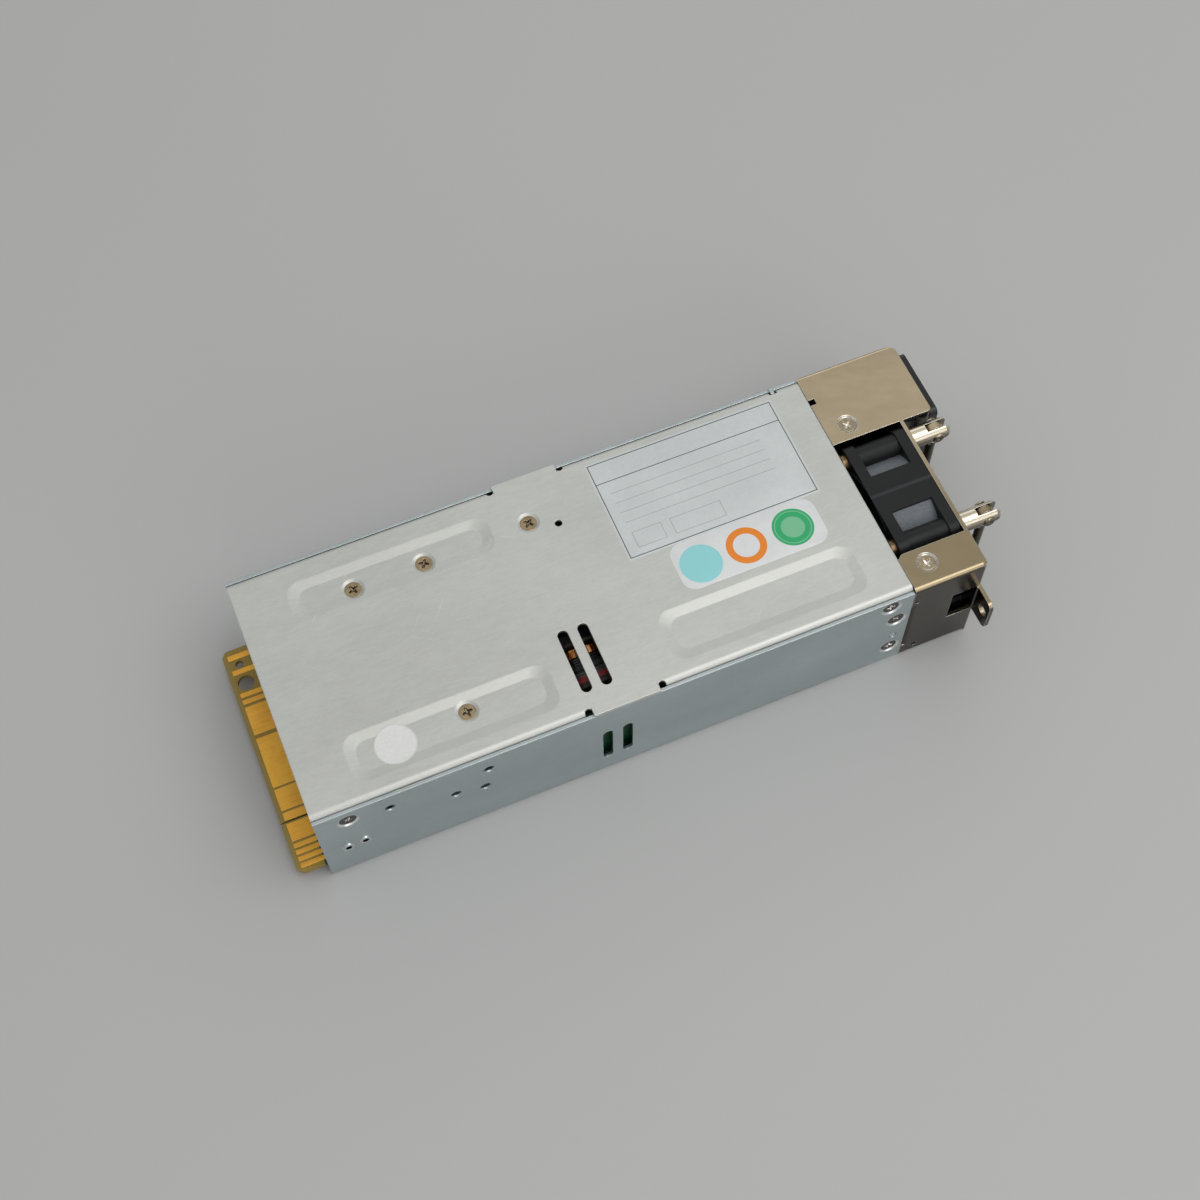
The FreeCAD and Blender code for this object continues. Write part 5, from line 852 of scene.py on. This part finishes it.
def stud_caps():
    """Bright domes on the two locating studs: a quarter ellipse turned about the stud's axis, with a
    short skirt down into the stud and a flat base."""
    widest, tallest = 1.2, 0.5
    turn = np.append(np.linspace(0, np.pi / 2, 10), np.pi / 2)
    angle = np.linspace(0, 2 * np.pi, 49)
    radius, height = widest * np.sin(turn), tallest * np.cos(turn)
    height[-1] -= tallest
    dome = np.stack([radius[:, None] * np.cos(angle), radius[:, None] * np.sin(angle),
                     np.repeat(height[:, None], len(angle), 1)], -1)
    base = np.stack([dome[-1] * (0, 0, 1), dome[-1]])
    grids = [stood(part, (stud_place[0], side * (side_face - tallest), stud_place[1]), (0, side, 0))
             for side in (-1, 1) for part in (dome, base)]
    bright = plated("stud_steel", (0.80, 0.81, 0.80), 0.2, (0.95, 0.95, 0.95))
    piece("stud_caps", grids, bright)


def bracket_fasteners(material):
    """Sunk cross-head screws in the bracket's top, and pan heads on its front."""
    grids = [stood(screw(long_as(FLAT_HEAD, 3.75), 1.5, 0.9, 0.9, turn), (*seat, lid_top - dish), (0, 0, 1))
             for seat, turn in zip(bracket_seats, (0.3, 0.75))]
    # The pale recess tone here is a painted highlight.
    bright = sunk_screw_finish("bracket_screw_nickel", (0.47, 0.385, 0.255), (0.95, 0.92, 0.86))
    piece("bracket_cross_screws", grids, bright, ["bracket_screws"])
    head_top = limit("fan_screws", 1, "x")
    grids = [stood(screw(long_as(PAN_HEAD, 11.0), 1.5, 0.9, 1.0, turn), (head_top, *seat), (1, 0, 0))
             for seat, turn in zip(fan_seats, (0.2, 1.0))]
    piece("fan_pan_screws", grids, material, ["fan_screws"])


def draped_disc(middle_x, middle_y, radius, ground):
    """A round film laid over uneven ground, as high above it everywhere: rings of points round the
    middle, raised by the ground's height. Gives the top, the underside and the edge between them."""
    bevel, sunk = 0.02, 0.03
    ring = np.concatenate([np.linspace(0, radius - 0.03, 26), [radius]])
    angle = np.linspace(0, 2 * np.pi, 97)
    x = middle_x + ring[:, None] * np.cos(angle)
    y = middle_y + ring[:, None] * np.sin(angle)
    height = ground(y)
    over = np.where(ring < radius, film, film - bevel)[:, None]
    top, under = [np.stack([x, y, z], -1) for z in (height + over, height - sunk)]
    return [top, under[[0, 8, 16, -1]], np.stack([top[-1], under[-1]])]


def near_form(y):
    """Height of the lid across a near pressed form: a flat floor, then a slope up on either side."""
    floor, half_width = form_floor
    climbed = np.clip((np.abs(y - form_middle) - half_width) / form_slope, 0, 1)
    return floor + (lid_top - floor) * climbed


def label_pieces():
    """The stickers on the lid: a ruled label, a strip with three plain marks and a round seal."""
    flat = [("rating_label", label_box, 0.4, label_film), ("check_strip", strip_box, 4.2, strip_vinyl)]
    for name, box, corner, finish in flat:
        sheet = plate(rounded_outline(box, corner), lid_top, lid_top + film)
        piece(name, [sheet], finish())
    piece("round_seal", draped_disc(*round_seal, near_form), seal_paper())


def windings(copper):
    """Real turns of wire on the transformer, as a helix of rounded rectangles along Y, and on the
    three ring chokes."""
    low, high = ends("transformer_winding")
    middle, half = (low + high) / 2, (high - low) / 2
    turns, wire, per_turn = 15, 0.8, 24
    t = np.linspace(0, 1, turns * per_turn + 1)
    x, z = squircle(2 * np.pi * turns * t, half[0] - wire / 2, half[2] - wire / 2, 0.35)
    y = (half[1] - wire / 2) * (2 * t - 1)
    path = np.stack([x, y, z], -1) + middle
    piece("transformer_turns", [tube(path, wire / 2)], wound_wire(),
          ["transformer_winding"])
    # Each choke's bore, turns, the axis of its ring and the angles between which it is wound.
    half, gap = np.pi, 0.3
    chokes = {"pfc": (6.5, 24, "z", [(gap, 2 * half - gap)]),
              "output": (7.0, 24, "z", [(half + gap, 3 * half - gap)]),
              "line": (5.0, 9, "x", [(gap, half - gap), (half + gap, 2 * half - gap)])}
    for name, (bore, turns, axis, spans) in chokes.items():
        grids = [ring_winding(name + "_choke_core", bore, turns, axis, *span) for span in spans]
        piece(name + "_turns", grids, copper, [name + "_choke_winding"])


# ---------------------------------------------------------------- stage
def stage():
    """A wide pale floor, a flat square grid just under the case."""
    size, below = 6000.0, 0.05
    u = np.linspace(-size / 2, size / 2, 9)
    x, y = np.meshgrid(u, u)
    mesh = filled_mesh("floor", [np.stack([x, y, np.full_like(x, -below)], -1)])
    f = Finish("pale_floor", (0.52, 0.52, 0.515), 0.85, Specular_IOR_Level=0.2)
    f.shade(f.noise(3.0, 2.0), 0.3, 0.7, 0.01)
    mesh.materials.append(f.made())
    linked("floor", mesh)


def softbox(name, place, size, radiance, colour=(1.0, 1.0, 1.0)):
    """A rectangular lamp, in metres, turned to the origin; its energy goes by radiance and area."""
    lamp = bpy.data.lights.new(name, "AREA")
    lamp.shape = "RECTANGLE"
    lamp.size, lamp.size_y = size
    lamp.energy = radiance * math.pi * size[0] * size[1]
    lamp.color = colour
    thing = linked(name, lamp)
    thing.location = place
    thing.rotation_mode = "QUATERNION"
    thing.rotation_quaternion = (-Vector(place)).to_track_quat("-Z", "Y")


def lighting():
    """Surroundings that brighten from the horizon up, with three large soft lamps: one overhead,
    a lower one off the near side and a faint one off the far side."""
    world = bpy.data.worlds.new("studio")
    bpy.context.scene.world = world
    world.use_nodes = True
    nodes, links = world.node_tree.nodes, world.node_tree.links
    split, climb = nodes.new("ShaderNodeSeparateXYZ"), nodes.new("ShaderNodeMapRange")
    mix = nodes.new("ShaderNodeMix")
    mix.data_type = "RGBA"
    horizon, zenith = (0.245, 0.26, 0.265, 1.0), (0.62, 0.62, 0.61, 1.0)
    mix.inputs[6].default_value, mix.inputs[7].default_value = horizon, zenith
    links.new(nodes.new("ShaderNodeTexCoord").outputs["Generated"], split.inputs[0])
    links.new(split.outputs[2], climb.inputs[0])
    links.new(climb.outputs[0], mix.inputs[0])
    links.new(mix.outputs[2], nodes["Background"].inputs["Color"])
    softbox("overhead", (0.38, -0.34, 1.08), (0.9, 0.8), 1.8)
    softbox("near_side", (0.14, -1.10, 0.50), (1.0, 0.5), 1.25)
    softbox("far_side", (0.5, 1.3, 0.75), (1.4, 0.6), 0.75, (0.95, 0.98, 1.0))


def camera():
    """Looks down at the case's top from the near left, a little turned about the line of sight."""
    aim, distance = Vector((6.8, -7.4, lid_top)) * MM, 0.5182
    azimuth, elevation, roll = [math.radians(angle) for angle in (21.07, 61.9, -1.7)]
    flat = math.cos(elevation)
    ahead = Vector((math.sin(azimuth) * flat, math.cos(azimuth) * flat, -math.sin(elevation)))
    level = Vector((math.cos(azimuth), -math.sin(azimuth), 0.0))
    upward = level.cross(ahead)
    right = level * math.cos(roll) + upward * math.sin(roll)
    top = right.cross(ahead)
    lens = bpy.data.cameras.new("camera")
    lens.lens, lens.sensor_width = 54.18, 36.0
    lens.clip_start, lens.clip_end = 0.01, 50.0
    thing = linked("camera", lens)
    turn = Matrix((right, top, -ahead)).transposed().to_4x4()
    thing.matrix_world = Matrix.Translation(aim - ahead * distance) @ turn
    bpy.context.scene.camera = thing
    bpy.context.scene.view_settings.view_transform = "Standard"


camera()
lighting()
stage()
made = dress_nodes()
lid_fasteners()
wall_fasteners()
bracket_fasteners(made["screw_nickel"])
stud_caps()
card_pads(made["gold"])
label_pieces()
windings(made["copper_wire"])
